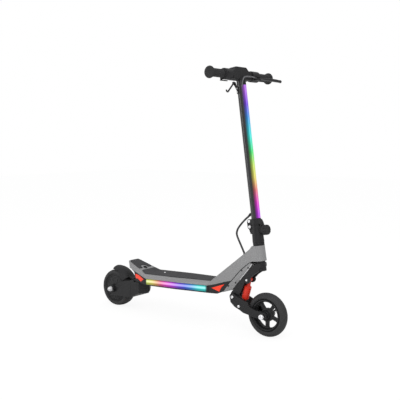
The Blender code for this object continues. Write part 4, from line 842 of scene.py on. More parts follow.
def smooth_line(points, count):
    """A smooth curve through points: p1 + (p2 - p0) s / 2 + ... (Catmull-Rom), evenly spaced by length."""
    points = np.asarray(points, float)
    ends = np.vstack([2 * points[0] - points[1], points, 2 * points[-1] - points[-2]])
    p0, p1, p2, p3 = [ends[k : len(ends) - 3 + k][:, None] for k in range(4)]
    s = np.linspace(0.0, 1.0, 20, endpoint=False)[None, :, None]
    square = 2 * p0 - 5 * p1 + 4 * p2 - p3
    cube = 3 * p1 - p0 - 3 * p2 + p3
    fine = 0.5 * (2 * p1 + (p2 - p0) * s + square * s**2 + cube * s**3)
    fine = np.vstack([fine.reshape(-1, points.shape[1]), points[-1:]])
    run = run_of(fine)
    return points_at(np.linspace(0.0, run[-1], count), run, fine)


def half_width(x):
    """Half width of the frame at x, from its plan outline."""
    return np.interp(x, PLAN_X, PLAN_HALF)


def deck_height(x):
    """Top face of the frame: a gentle slope, and a steeper one behind the kick, joined by a soft bend
    a + b x + c w ln(1 + e^((k - x) / w))."""
    bend_width = 0.002
    bend = (KICK_SLOPE + DECK_SLOPE) * bend_width * np.logaddexp(0.0, (KICK_X - x) / bend_width)
    return DECK_TOP_AT_ORIGIN + DECK_SLOPE * x + bend


# Pieces


# Copies of the cast and moulded nodes: the radius of their edges, in mm
SOFT_EDGES = {
    "frame_shell": 1.2, "neck_cover": 0.8, "belly_plate": 0.6, "side_rail_right": 0.8, "side_rail_left": 0.8,
    "reflector_front_right": 0.5, "reflector_front_left": 0.5, "reflector_rear_right": 0.5,
    "reflector_rear_left": 0.5, "rear_fork": 1.5, "fender": 0.6, "fork": 1.0, "fold_base": 0.5,
    "fold_collar": 0.5, "swing_arm": 1.2, "head_housing": 0.5, "brake_perch": 0.5, "throttle_body": 0.5,
    "throttle_paddle": 0.6, "hook_bracket": 0.4, "display_screen": 0.3, "power_button": 0.4,
}
# Those whose small facets leave no room for a full bevel
CLAMPED = {
    "frame_shell", "fold_collar", "fold_base", "fender", "rear_fork", "side_rail_right", "side_rail_left",
}
# The largest angle between two faces that are shaded as one
SMOOTH_UP_TO = radians(28.0)


def softened(node, width):
    """A copy of a CAD node with its flat faces made whole and its edges rounded by a bevel."""
    shape = bmesh.new()
    shape.from_mesh(NODES[node].data)
    bmesh.ops.remove_doubles(shape, verts=shape.verts, dist=0.005 * MM)
    bmesh.ops.dissolve_limit(shape, angle_limit=radians(0.5), verts=shape.verts, edges=shape.edges)
    mesh = bpy.data.meshes.new(f"{node}_finished")
    shape.to_mesh(mesh)
    shape.free()
    mesh.shade_smooth()
    if node in CLAMPED:
        mesh.set_sharp_from_angle(angle=SMOOTH_UP_TO)
    mesh.materials.clear()
    thing = piece(f"{node}_finished", mesh, node)
    bevel = thing.modifiers.new("rounded edges", "BEVEL")
    bevel.width = width
    bevel.segments = 2
    bevel.limit_method = "ANGLE"
    bevel.angle_limit = SMOOTH_UP_TO
    bevel.use_clamp_overlap = node in CLAMPED
    if node not in CLAMPED:
        shade = thing.modifiers.new("flat faces stay flat", "WEIGHTED_NORMAL")
        shade.keep_sharp = False


def build_soft_edges():
    """Copies of the cast and moulded nodes, their edges rounded by each one's own radius."""
    for node, width in SOFT_EDGES.items():
        softened(node, width * MM)


def dress_nodes():
    """Every CAD node gets the finish of its slot, and the stem's light its own strip."""
    for node, thing in NODES.items():
        thing.data.materials.clear()
        thing.data.materials.append(finish("stem_strip" if node == "stem_light" else SLOT[node]))


def in_scene(name, data, place=(0.0, 0.0, 0.0), aim=None):
    """An object of the stage: it stands at a place, and points along a direction if that is given."""
    thing = bpy.data.objects.new(name, data)
    bpy.context.scene.collection.objects.link(thing)
    thing.location = place
    if aim:
        thing.rotation_euler = aim.to_track_quat("-Z", "Y").to_euler()
    return thing


# The camera stands ahead of the scooter on its right, a little above the bar's half height
CAMERA_PLACE, CAMERA_AIM = (1.7254, -2.0869, 0.7425), Vector((-0.6196, 0.7793, -0.0940))
CAMERA_SENSOR_MM, CAMERA_LENS_MM = 36.0, 61.1
# Round soft lamps that point at the scooter's middle: name, place, width and watts
LAMPS = (("front_lamp", (2.0, -2.4, 3.0), 3.0, 68.0), ("side_lamp", (-2.4, -2.6, 0.9), 1.2, 18.0))
MIDDLE = Vector((0.0, 0.0, 0.4))
FLOOR_HALF, FLOOR_DROP = 9, 0.2 * MM
# Light of the surround at the horizon, and what is added towards the zenith
SKY_LOW, SKY_RISE = 0.40, 0.62
# How much of the floor's look is plain white, and the strength of that white
FLOOR_WHITE_SHARE, FLOOR_WHITE = 0.86, 1.025


def build_stage():
    """Pale floor and surround, two soft lamps, and the camera at the photograph's angle."""
    scene = bpy.context.scene
    scene.view_settings.view_transform = "Standard"
    mesh = bpy.data.meshes.new("floor")
    corners = [(x * FLOOR_HALF, y * FLOOR_HALF, 0) for x, y in ((-1, -1), (1, -1), (1, 1), (-1, 1))]
    mesh.from_pydata(corners, [], [(0, 1, 2, 3)])
    mesh.materials.append(floor_finish())
    in_scene("floor", mesh, (0.0, 0.0, -FLOOR_DROP))
    scene.world = surround()
    for name, place, width, energy in LAMPS:
        lamp = bpy.data.lights.new(name, "AREA")
        lamp.shape = "DISK"
        lamp.size = width
        lamp.energy = energy
        in_scene(name, lamp, place, MIDDLE - Vector(place))
    view = bpy.data.cameras.new("camera")
    view.sensor_width = CAMERA_SENSOR_MM
    view.lens = CAMERA_LENS_MM
    scene.camera = in_scene("camera", view, CAMERA_PLACE, CAMERA_AIM)


def floor_finish():
    """Nearly white to the camera; it still shows the object's shadow faintly."""
    floor = Finish("pale_floor", (0.90, 0.90, 0.90), 0.9, specular_ior_level=0.0)
    white = floor.add("ShaderNodeEmission", {"Color": WHITE, "Strength": FLOOR_WHITE})
    lit = Wire(floor, floor.shader.outputs[0])
    sockets = {0: floor.seen_directly() * FLOOR_WHITE_SHARE, 1: lit, 2: white}
    blend = floor.add("ShaderNodeMixShader", sockets)
    floor.feed(floor.tree.nodes["Material Output"].inputs["Surface"], blend)
    return floor.material


def surround():
    """White to the camera; the object is lit by a grey that grows lighter with height."""
    world = bpy.data.worlds.new("studio")
    world.use_nodes = True
    sky = NodeTree(world.node_tree)
    direction = sky.add("ShaderNodeTexCoord", output="Generated")
    height = sky.add("ShaderNodeSeparateXYZ", {"Vector": direction}, output="Z").ramp(0.0, 0.9)
    strength = SKY_LOW + height * SKY_RISE
    light = sky.add("ShaderNodeBackground", {"Color": WHITE, "Strength": strength})
    white = sky.add("ShaderNodeBackground", {"Color": WHITE, "Strength": 1.0})
    both = sky.add("ShaderNodeMixShader", {0: sky.seen_directly(), 1: light, 2: white})
    sky.feed(sky.tree.nodes["World Output"].inputs["Surface"], both)
    return world


# Main cable: its route from inside the neck up to the inside of the stem's back, side view
CABLE_R = 0.0037
CABLE_ROUTE = np.array((
    (287.2, 289.1), (283.6, 295.4), (280.3, 301.3), (276.0, 309.2), (268.1, 323.8), (259.7, 339.2),
    (251.4, 354.3), (246.3, 365.5), (244.5, 374.6), (246.2, 383.6), (251.0, 394.0), (259.3, 405.0),
    (269.8, 416.8), (282.9, 429.6), (296.5, 441.2), (307.5, 451.5), (311.4, 455.4),
)) * MM
CABLE_MIDDLE_Z = 0.3746
CABLE_MOUTH, CABLE_ENTRY = (0.2836, 0.0, 0.2954), (0.3111, 0.0, 0.4546)
# Brake cable, in the steering frame: from the stem's front right to the lever's bracket
BRAKE_CABLE_R, ADJUSTER_R = 0.0025, 0.0036
BRAKE_CABLE_ROUTE = np.array((
    (10.5, -11.5, 931.0), (13.4, -14.0, 936.2), (16.3, -16.7, 941.6), (19.0, -18.3, 947.3),
    (21.1, -17.9, 953.2), (22.6, -15.5, 958.6), (23.6, -11.4, 962.8), (24.0, -6.1, 965.4),
    (24.0, 0.4, 966.4), (24.0, 8.1, 967.0), (24.0, 22.7, 967.6), (24.0, 36.0, 967.9),
    (24.0, 47.0, 967.4), (24.0, 59.0, 965.9), (24.0, 69.5, 964.2),
)) * MM


def build_cables():
    """Main cable in two pieces that meet end to end, and the brake cable before the stem's head."""
    route = smooth_line(CABLE_ROUTE, 90)
    path = np.stack([route[:, 0], np.zeros(len(route)), route[:, 1]], axis=-1)
    split = int(np.argmin(np.abs(path[:, 2] - CABLE_MIDDLE_Z)))
    middle = tuple(path[split])
    for name, part, bend in (
        ("main_cable_lower", path[: split + 1], ("frame", "steerer", CABLE_MOUTH, middle)),
        ("main_cable_upper", path[split:], ("steerer", "stem", middle, CABLE_ENTRY)),
    ):
        thing = make(name, [tube_along(part, CABLE_R)], "main_cable", blend=bend)
    for name, spot, wide, body in (
        ("cable_boot_neck", path[2:8], 2.2, "frame"), ("cable_boot_stem", path[-8:-2][::-1], 2.0, "stem"),
    ):
        taper = CABLE_R + np.linspace(wide, 0.5, len(spot)) * MM
        make(name, [tube_along(spot, taper)], body=body, slot="grip_rubber")
    route = placed(smooth_line(BRAKE_CABLE_ROUTE, 60), STEERING)
    adjuster = rod_between(route[-7], route[-1] + (route[-1] - route[-2]) * 1.5, ADJUSTER_R)
    fitting = make("brake_cable_adjuster", [adjuster], body="stem", slot="dark_steel")
    tube = tube_along(route, BRAKE_CABLE_R)
    cable = make("brake_cable", [tube], body="stem", slot="cable_sheath", look="bright_sheath")


def tread(half_width, repeats):
    """Grooves of a tyre: rings beside the crown, and slanted cuts on its shoulders."""
    depth = settings().tread_depth

    def ripple(angle, radius, height):
        side = np.abs(height) / half_width
        rings = np.exp(-((side - 0.22) / 0.05) ** 2)
        wave = np.cos(repeats * angle + np.sign(height) * 9.0 * side)
        shoulder = np.clip((side - 0.34) / 0.08, 0.0, 1.0) * np.clip((0.93 - side) / 0.08, 0.0, 1.0)
        cuts = np.clip(wave * 3.0 - 1.6, 0.0, 1.0) * shoulder
        return -depth * np.maximum(rings, cuts)

    return ripple


def build_tyres():
    """Front: a round section. Rear: a flat-sided one, both with grooves pressed in."""
    half, top, root = 0.0200, 0.0825, 0.0600
    angle = np.radians(np.linspace(-84.0, 84.0, 61))
    crown = np.stack([top - half * (1.0 - np.cos(angle)) * 0.92, half * np.sin(angle)], axis=-1)
    crown[:, 0] += 0.0004 * np.exp(-((np.abs(np.degrees(angle)) - 66.0) / 3.0) ** 2)
    ends = np.array([(root + 0.0020, 0.0168), (root + 0.0002, 0.0140)])
    outline = np.vstack([ends[::-1] * (1, -1), crown, ends])
    tyre = turned(outline, 300, across(FRONT_AXLE), tread(half, 50))
    make("front_tyre_treaded", [tyre], "front_tyre", sharp=60.0)

    half, top, root = 0.0270, 0.0800, 0.0590
    corners = mirrored([
        (top, half * 0.30), (top - 0.0035, half * 0.86), (top - 0.0100, half), (root + 0.0040, half),
        (root, 0.0205),
    ])
    radii = np.array((0.0, 2.0, 4.0, 6.0, 9.0, 9.0, 6.0, 4.0, 2.0, 0.0)) * MM
    tyre = turned(rounded(corners, radii, 9), 300, across(REAR_AXLE), tread(half, 44))
    make("rear_tyre_treaded", [tyre], "rear_tyre", sharp=60.0)


# Mats seen from above, in mm: half width and place ahead of the origin along their front and rear edges
MAIN_MAT = (
    ((0.0, 146.0), (32.0, 146.0), (38.0, 140.0), (49.5, -20.0)),
    ((0.0, -213.0), (37.0, -213.0), (40.0, -211.0), (45.0, -196.0), (49.5, -170.0)),
)
TAIL_MAT = (
    ((0.0, -229.5), (35.0, -229.5), (36.9, -231.5)),
    ((0.0, -297.0), (23.0, -297.0), (27.0, -290.0), (36.4, -240.0), (36.9, -233.5)),
)
MAT_LOW, MAT_TOP, NOTCH_R = 0.0003, 0.0033, 0.0185
MAT_EDGE_R, RIB_PITCH, RIB_BORDER = 0.8 * MM, 4.0 * MM, 3.0 * MM
MAT_SCREW_X = -0.1200


def mat_surface(outline):
    """Top and bottom of a mat: x runs from the front edge to the rear edge of each column y, and the
    height is the deck's, plus a thickness from which straight grooves are taken: h/2 (1 - cos(k y)).
    A round notch leaves the hook's socket free."""
    front_edge, rear_edge = [np.array(edge) * MM for edge in outline]
    half = min(front_edge[-1, 0], rear_edge[-1, 0])
    y = stations(-half, half, MAT_EDGE_R, 190)
    front = np.interp(np.abs(y), front_edge[:, 0], front_edge[:, 1])
    rear = np.interp(np.abs(y), rear_edge[:, 0], rear_edge[:, 1])
    notch = np.sqrt(np.clip(NOTCH_R**2 - y**2, 0.0, None))
    behind = rear < HOOK_HOLE_X - NOTCH_R
    front = np.where((notch > 0.0) & behind, np.minimum(front, HOOK_HOLE_X - notch), front)
    rear = np.where((notch > 0.0) & ~behind, np.maximum(rear, HOOK_HOLE_X + notch), rear)
    share = stations(0.0, 1.0, 0.004, 64)[:, None]
    x = front + (rear - front) * share
    edge = np.minimum(np.minimum(front - x, x - rear), half - np.abs(y))
    groove = 0.5 - 0.5 * np.cos(2.0 * pi * y / RIB_PITCH)
    inside = np.clip((edge - RIB_BORDER) / MM, 0.0, 1.0)
    rise = MAT_TOP - settings().mat_rib_height * groove**2 * inside - drop(edge, MAT_EDGE_R)
    return closed_slab(grid_of(x, y, deck_height(x) + rise), grid_of(x, y, deck_height(x) + MAT_LOW))


def build_mats():
    """Ribbed mats on the deck and on the kick, the rim of the hook's socket, and the mat's screw."""
    for name, outline in (("deck_mat", MAIN_MAT), ("tail_mat", TAIL_MAT)):
        make(f"{name}_ribbed", [mat_surface(outline)], name, look="mat_rubber")
    lean = Matrix.Rotation(atan2(KICK_SLOPE, 1.0), 4, "Y")
    ring = np.array([(5.4, -1.5), (9.0, -1.5), (9.0, 1.2), (7.6, 2.0), (5.8, 2.0), (5.4, 1.2)]) * MM
    seat = Matrix.Translation((HOOK_HOLE_X, 0.0, deck_height(HOOK_HOLE_X))) @ lean
    rim = turned(rounded(ring, 0.4 * MM), 64, seat)
    make("hook_socket_rim", [rim], body="frame", slot="black_plastic")
    spot = Vector((MAT_SCREW_X, 0.0, deck_height(MAT_SCREW_X) + MAT_TOP - 2.6 * MM))
    head = [(0.05, 3.2), (1.3, 3.2), (1.5, 5.0), (2.6, 4.7), (3.6, 3.4), (3.8, 2.0), (3.8, 0.0), (0.05, 0.0)]
    screw = spun(np.array(head) * MM, 32, Matrix.Translation(spot))
    make("deck_mat_screw", [screw], body="frame", slot="bright_steel")


def build_light_bars():
    """Bars let into the rails: the outer face stands off the frame's plan, its edge and corners round."""
    corner = 4.5 * MM
    x = stations(*LIGHT_X, corner, 90)[:, None]
    from_end = np.minimum(x - LIGHT_X[0], LIGHT_X[1] - x)
    half_height = (LIGHT_LOW - LIGHT_HIGH) / 2.0 - drop(from_end, corner)
    share = stations(-1.0, 1.0, 0.25, 13)[None, :]
    z = DECK_TOP_AT_ORIGIN + DECK_SLOPE * x - LIGHT_MIDDLE + half_height * share
    from_edge = np.minimum(half_height * (1.0 - np.abs(share)), from_end)
    outer = half_width(x) + LIGHT_OUT - drop(from_edge, 1.6 * MM)
    inner = half_width(x) - LIGHT_IN
    for label, sign in SIDES:
        slab = closed_slab(*[grid_of(x, sign * y, z) for y in (outer, inner)])
        make(f"light_bar_{label}_lens", [slab], f"light_bar_{label}")


def build_stem():
    """Stem tube with the lens's seat pressed in its front, and the lens that wraps round it."""
    seat_half, lens_half, gap, step = radians(58.0), radians(57.0), 0.3 * MM, 0.1 * MM
    seat_low, seat_top = LENS_LOW - gap, LENS_TOP + gap
    around = np.concatenate([
        np.linspace(-seat_half, seat_half, 40),
        np.linspace(seat_half + 0.004, 2.0 * pi - seat_half - 0.004, 70),
    ])
    edge = 0.5 * MM
    outer = [STEM_LOW + edge, seat_low - step, seat_low, seat_top, seat_top + step, STEM_TOP - edge]
    outline = [(STEM_BORE, STEM_LOW), (STEM_R - edge, STEM_LOW)] + [(STEM_R, t) for t in outer]
    outline += [(STEM_R - edge, STEM_TOP), (STEM_BORE, STEM_TOP)]

    def seat(angle, radius, height):
        turn = np.abs(np.mod(angle + pi, 2.0 * pi) - pi)
        in_run = (height >= seat_low) & (height <= seat_top)
        cut = (turn <= seat_half + 0.001) & in_run & (radius > STEM_BORE)
        return np.where(cut, LENS_SEAT_R - radius, 0.0)

    tube = turned(outline, around, STEERING, seat)
    make("stem_tube_seated", [tube], "stem_tube", sharp=40.0, look="stem_black")
    angle = stations(-lens_half, lens_half, 0.045, 40)[None, :]
    t = stations(LENS_LOW, LENS_TOP, 0.8 * MM, 60)[:, None]
    from_edge = np.minimum((lens_half - np.abs(angle)) * LENS_R, np.minimum(t - LENS_LOW, LENS_TOP - t))
    slab = closed_slab(*[
        placed(grid_of(radius * np.cos(angle), radius * np.sin(angle), t), STEERING)
        for radius in (LENS_R - drop(from_edge, 0.8 * MM), LENS_R - 1.5 * MM)
    ])
    make("stem_light_lens", [slab], "stem_light", look="stem_strip")


# Where each grip starts, left and right of the middle
GRIP_START = {"right": 0.1137, "left": 0.1075}


def build_grips():
    """The bar's tube, and on each end a rubber sleeve of small raised pads with a wide flange."""
    axis = STEERING @ across((0.0, 0.0, BAR_T))
    bore = BAR_R - 2.0 * MM
    tube = rounded([(bore, -BAR_HALF), (BAR_R, -BAR_HALF), (BAR_R, BAR_HALF), (bore, BAR_HALF)], 0.5 * MM)
    make("handlebar_tube", [turned(tube, 64, axis)], "handlebar")
    hollow, end, lid = BAR_R + 0.3 * MM, 0.1920, 1.0 * MM
    for label, sign in SIDES:
        start = GRIP_START[label]
        corners = [
            (hollow, start), (GRIP_R, start), (GRIP_R, 0.1795), (FLANGE_R - 3.0 * MM, 0.1822),
            (FLANGE_R, 0.1850), (FLANGE_R, 0.1895), (FLANGE_R - 4.0 * MM, end), (6.0 * MM, end),
            (5.0 * MM, end - lid), (AXIS_R, end - lid), (AXIS_R, BAR_HALF + 0.3 * MM),
            (hollow, BAR_HALF + 0.3 * MM),
        ]
        radii = np.array((0.2, 1.5, 3.0, 2.0, 2.5, 2.5, 2.0, 0.5, 0.5, 0.0, 0.0, 0.2)) * MM
        outline = finer(rounded(corners, radii, 5), 0.75 * MM)

        def pads(angle, radius, height, low=start + 5.0 * MM, high=0.1745):
            sleeve = np.clip((height - low) / MM, 0.0, 1.0) * np.clip((high - height) / MM, 0.0, 1.0)
            skin_share = np.clip((radius - GRIP_R + 0.5 * MM) / (0.3 * MM), 0.0, 1.0)
            rings = np.clip(0.5 + np.cos(2.0 * pi * (height - low) / (6.0 * MM)), 0.0, 1.0)
            cuts = np.clip(0.8 + np.cos(20.0 * angle), 0.0, 1.0)
            return sleeve * skin_share * (0.5 * MM * rings * cuts - 0.15 * MM)

        grip = turned(outline, 160, axis @ Matrix.Diagonal((1.0, 1.0, sign, 1.0)), pads)
        make(f"grip_{label}_ribbed", [grip], f"grip_{label}", sharp=70.0)


def outward(degrees):
    """The direction from a wheel's axle at an angle above the way ahead."""
    return Vector((cos(radians(degrees)), 0.0, sin(radians(degrees))))


# Front wheel: its spokes' number and first angle in degrees, their run, and the valve's angle
SPOKES, FIRST_SPOKE, VALVE_AT = 5, -18.0, 34.0
SPOKE_RUN = (20.0 * MM, 50.2 * MM)


def build_front_wheel():
    """Rim, five spokes that widen at both ends, hub and valve, and the bearing set."""
    seat = across(FRONT_AXLE)
    rim = mirrored([(48.6, 7.0), (50.2, 10.5), (52.8, 17.2), (55.4, 17.6), (57.4, 17.3), (59.7, 13.5)])
    hub = mirrored([(25.0, 8.4), (20.0, 9.6), (17.0, 17.5), (15.6, 21.2), (11.0, 21.2)])
    parts = [
        turned(rounded(np.array(rim) * MM, 1.2 * MM, 5), 144, seat),
        turned(rounded(np.array(hub) * MM, 0.8 * MM), 96, seat),
    ]

    def width(radius):
        at_hub = 4.0 * np.exp((21.0 * MM - radius) / (2.5 * MM))
        at_rim = 6.0 * np.exp((radius - 50.0 * MM) / (2.6 * MM))
        return (5.8 + at_hub + at_rim) * MM

    def thick(radius):
        return (8.6 - 0.8 * (radius - 20.0 * MM) / (30.0 * MM)) * MM

    for k in range(SPOKES):
        angle = radians(FIRST_SPOKE + 360.0 / SPOKES * k)
        parts.append(spoke(FRONT_AXLE, angle, SPOKE_RUN, width, thick))
    out = outward(VALVE_AT)
    for high, low, radius in ((49.0, 41.0, 2.6), (41.2, 35.5, 3.6)):
        parts.append(rod_between(FRONT_AXLE + out * high * MM, FRONT_AXLE + out * low * MM, radius * MM))
    make("front_rim_cast", parts, "front_rim", sharp=40.0)
    bearing = [(10.6, 15.0), (10.6, 21.0), (8.6, 21.0), (8.2, 20.6), (7.2, 20.6), (6.8, 21.0), (5.1, 21.0)]
    inner = [(5.1, -21.0)] + [(r, -h) for r, h in bearing[-2::-1]] + [(8.5, -15.0), (8.5, 15.0)] + bearing
    make("front_bearing_set", [turned(np.array(inner) * MM, 64, seat)], "front_bearings", sharp=30.0)


# Motor hub: number of ribs and of screws on each cover, the ribs' run and half width, and the radius
# of the screws' circle in mm
RIBS, RIB_RUN, RIB_HALF, SCREW_CIRCLE = 8, (21.5 * MM, 43.5 * MM), 1.6 * MM, 42.0


def build_motor_hub():
    """Hub motor's shell: covers with a raised boss, shallow ribs, and screws round the edge."""
    half = [
        (58.7, 21.5), (54.0, 21.5), (50.5, 24.3), (48.4, 24.8), (47.8, 24.0), (46.6, 24.0), (46.0, 24.9),
        (21.0, 26.4), (18.0, 26.8), (16.5, 25.4), (13.0, 25.4), (12.0, 26.6), (6.3, 26.6), (6.3, 14.0),
        (45.0, 14.0),
    ]
    outline = rounded(np.array(mirrored(half)) * MM, 0.5 * MM)
    parts = [turned(outline[::-1], 144, across(REAR_AXLE))]

    def rib(radius):
        return RIB_HALF

    step = 360.0 / RIBS
    for k in range(RIBS):
        angle = radians(step / 2.0 + step * k)
        for _, sign in SIDES:
            parts.append(spoke(REAR_AXLE, angle, RIB_RUN, rib, rib, sign * 24.9 * MM))
    for k in range(RIBS):
        spot = REAR_AXLE + outward(step * k) * SCREW_CIRCLE * MM
        parts.append(bolt(across(spot), 1.2, 2.6, 24.6, 1.4, 1.2))
    make("motor_hub_cast", parts, "motor_hub", sharp=35.0)


def axle_nut(node, centre, sign, bore, corner, start, reach):
    """Hexagon nut with a turned collar on its end, and the dark washer below it."""
    seat = across(centre) @ Matrix.Diagonal((1.0, 1.0, sign, 1.0))
    flat, top, hex_top = start + 1.6 * MM, start + reach, start + reach * 0.62
    under, rim = flat - 0.05 * MM, corner * 1.2
    washer = rounded([(bore, start), (rim, start), (rim, under), (bore, under)], 0.4 * MM)
    make(f"{node}_washer", [turned(washer, 64, seat)], node, slot="dark_steel")
    half = [
        (bore, flat), (corner, flat), (corner, start + reach * 0.54), (corner * 0.86, hex_top),
        (corner * 0.76, start + reach * 0.64), (corner * 0.74, top - 0.6 * MM), (corner * 0.68, top),
        (bore, top),
    ]

    def trim(angle, radius, height):
        chosen = (height >= under) & (height <= hex_top) & (radius >= corner * 0.8) & (radius <= corner)
        return np.where(chosen, np.minimum(0.0, corner * hexagon(angle) - radius), 0.0)

    make(f"{node}_hex", [turned(half, 96, seat, trim)], node, sharp=25.0)


def build_axles():
    """Rear axle with threads and drilled ends, its nuts, the front axle bolt and its nut."""
    end, start, pitch = 66.0 * MM, 48.3 * MM, 1.25 * MM
    drilled = end - 5.0 * MM
    tip = [(REAR_AXLE_R - 0.8 * MM, end), (3.4 * MM, end), (3.2 * MM, drilled), (AXIS_R, drilled)]
    fine = np.arange(50.0, 65.4, 0.25) * MM
    thread = [(REAR_AXLE_R - 0.25 * MM * (0.5 - 0.5 * cos(2.0 * pi * h / pitch)), h) for h in fine]
    shaft = spun(mirrored([(REAR_AXLE_R, start)] + thread + tip), 48, across(REAR_AXLE))
    make("rear_axle_threaded", [shaft], "rear_axle")
    for label, sign in SIDES:
        bore = REAR_AXLE_R + 0.3 * MM
        axle_nut(f"rear_axle_nut_{label}", REAR_AXLE, sign, bore, 10.5 * MM, start, 13.9 * MM)
    seat = across(FRONT_AXLE)
    outline = np.array([
        (0.05, -46.0), (3.6, -46.0), (3.8, -50.0), (8.0, -50.0), (9.2, -48.8), (9.2, -41.6), (6.8, -41.0),
        (6.8, -33.4), (5.0, -33.4), (5.0, 47.4), (4.4, 48.0), (0.05, 48.0),
    ]) * MM
    make("front_axle_bolt", [spun(outline, 96, seat)], "front_axle", sharp=25.0)
    spacer = rounded(np.array([
        (5.1, -33.4), (5.1, -31.3), (12.5, -31.3), (12.5, -33.3), (9.0, -33.4), (8.8, -41.0), (6.9, -41.0),
        (6.9, -33.4),
    ]) * MM, 0.3 * MM)
    make("front_axle_spacer", [turned(spacer, 96, seat)], "front_axle", slot="dark_steel")
    axle_nut("front_axle_nut", FRONT_AXLE, 1.0, 5.3 * MM, 9.2 * MM, 31.3 * MM, 17.0 * MM)


# Sizes as in bolt, after the bolt's place
BOLTS = {
    "arm_pivot_bolt": (across(ARM_PIVOT), 4.0, 5.7, 31.3, 4.5, 2.6),
    "shock_foot_bolt": (across(SHOCK_FOOT), 3.6, 5.2, 31.3, 4.5, 2.4),
    "shock_top_bolt": (across(SHOCK_TOP), 3.0, 4.2, 21.8, 3.0, 2.0),
    "fold_pin": (STEERING @ across((-0.0235, 0.0, 0.4130)), 3.0, 5.6, 13.3, 3.0, 2.4),
    "hinge_bolt": (STEERING @ across((-0.0235, 0.0, 0.4340)), 3.0, 5.6, 13.3, 3.0, 2.4),
}
# Each screw of the neck's cover, and the place of the dark dowel beside it
NECK_SCREWS = {"neck_screw_upper": (0.2873, 0.2402), "neck_screw_lower": (0.2293, 0.1750)}
# Side view: seam between the neck and its cover, and the cover's edge beside the fork, along which
# a bright rod paints the edge's highlight
NECK_SEAM = np.array(((240.5, 193.2), (260.0, 215.8), (281.2, 240.0), (299.0, 255.6), (316.0, 270.6))) * MM
COVER_EDGE = np.array(((275.9, 202.8), (291.0, 219.8), (307.4, 239.0), (331.0, 268.8))) * MM


def build_bolts():
    """Through bolts of the suspension, the fold and the neck cover; a black bead that paints the shade
    in the neck's seam, and a bright rod that paints the highlight on the cover's edge.
    """
    for name, sizes in BOLTS.items():
        make(f"{name}_domed", [bolt(*sizes)], name, sharp=35.0)
    dowels = []
    for name, (x, z) in NECK_SCREWS.items():
        low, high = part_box(name)
        spot = (Vector(low) + Vector(high)) / 2.0
        shape = bolt(across(spot), 1.6, 3.0, high[1] / MM - 2.0, 2.0, 1.4)
        make(f"{name}_domed", [shape], name, sharp=35.0)
        for _, sign in SIDES:
            face, out = Vector((x, sign * half_width(x), z)), LEFT * sign
            dowels.append(rod_between(face - out * 2.5 * MM, face + out * 0.8 * MM, 3.2 * MM))
    make("neck_dowels", dowels, body="frame", slot="dark_steel")
    # The seam's line carries the painted shade of its groove, and trim the painted highlight of the cover's edge
    groove_line, trim = smooth_line(NECK_SEAM, 80), smooth_line(COVER_EDGE, 60)
    beside_groove, beside_highlight = half_width(groove_line[:, 0]) - 0.6 * MM, np.full(60, 22.6 * MM)
    for label, sign in SIDES:
        for kind, line, y, radius, slot in (
            # Painted shade: a black rubber bead along the seam stands in for the shade in the groove between the
            # neck and its cover
            ("neck_groove_shade", groove_line, beside_groove, 1.5 * MM, "grip_rubber"),
            # Painted highlight: a bright steel rod along the cover's edge stands in for the light that edge
            # catches
            ("cover_edge_highlight", trim, beside_highlight, 0.9 * MM, "bright_steel"),
        ):
            path = np.stack([line[:, 0], sign * y, line[:, 1]], axis=-1)
            make(f"{kind}_{label}", [tube_along(path, radius, 12)], body="frame", slot=slot)


# Clamp knob: its height along the steering axis, the number of hollows round it and their depth
KNOB_T, HOLLOWS, HOLLOW_DEPTH = 0.3975, 10, 1.8 * MM


def build_knob():
    """Hand knob: turned, with hollows round it: its radius less d max(0, cos n a)^2."""
    matrix = STEERING @ Matrix.Translation((0.0, 0.0, KNOB_T)) @ Matrix.Rotation(radians(90.0), 4, "Y")
    corners = np.array([
        (4.1, 41.3), (4.1, 26.2), (16.2, 26.2), (18.2, 27.0), (19.0, 29.5), (19.0, 44.5), (17.4, 48.4),
        (14.2, 50.0), (12.4, 49.2), (7.0, 49.0), (6.2, 48.2), (0.05, 48.2),
    ]) * MM
    radii = np.array((0.2, 0.2, 0.8, 1.0, 1.5, 3.0, 2.5, 1.2, 0.8, 0.4, 0.4, 0.0)) * MM
    outline = np.vstack([[(AXIS_R, 41.3 * MM)], rounded(corners, radii, 5)])

    def hollows(angle, radius, height):
        outside = np.clip((radius - 14.0 * MM) / (3.0 * MM), 0.0, 1.0)
        along = np.clip((height - 31.0 * MM) / (4.0 * MM), 0.0, 1.0)
        return -HOLLOW_DEPTH * np.clip(np.cos(HOLLOWS * angle), 0.0, 1.0) ** 2 * outside * along

    knob = spun(finer(outline, 1.0 * MM, closed=False), 160, matrix, hollows)
    make("fold_knob_ribbed", [knob], "fold_knob")


# Spring in the shock, in mm: the coil's radius, its start below the upper bolt, its length and turns
COIL_R, COIL_START, COIL_LENGTH, COIL_TURNS = 7.8, 41.8, 31.9, 6


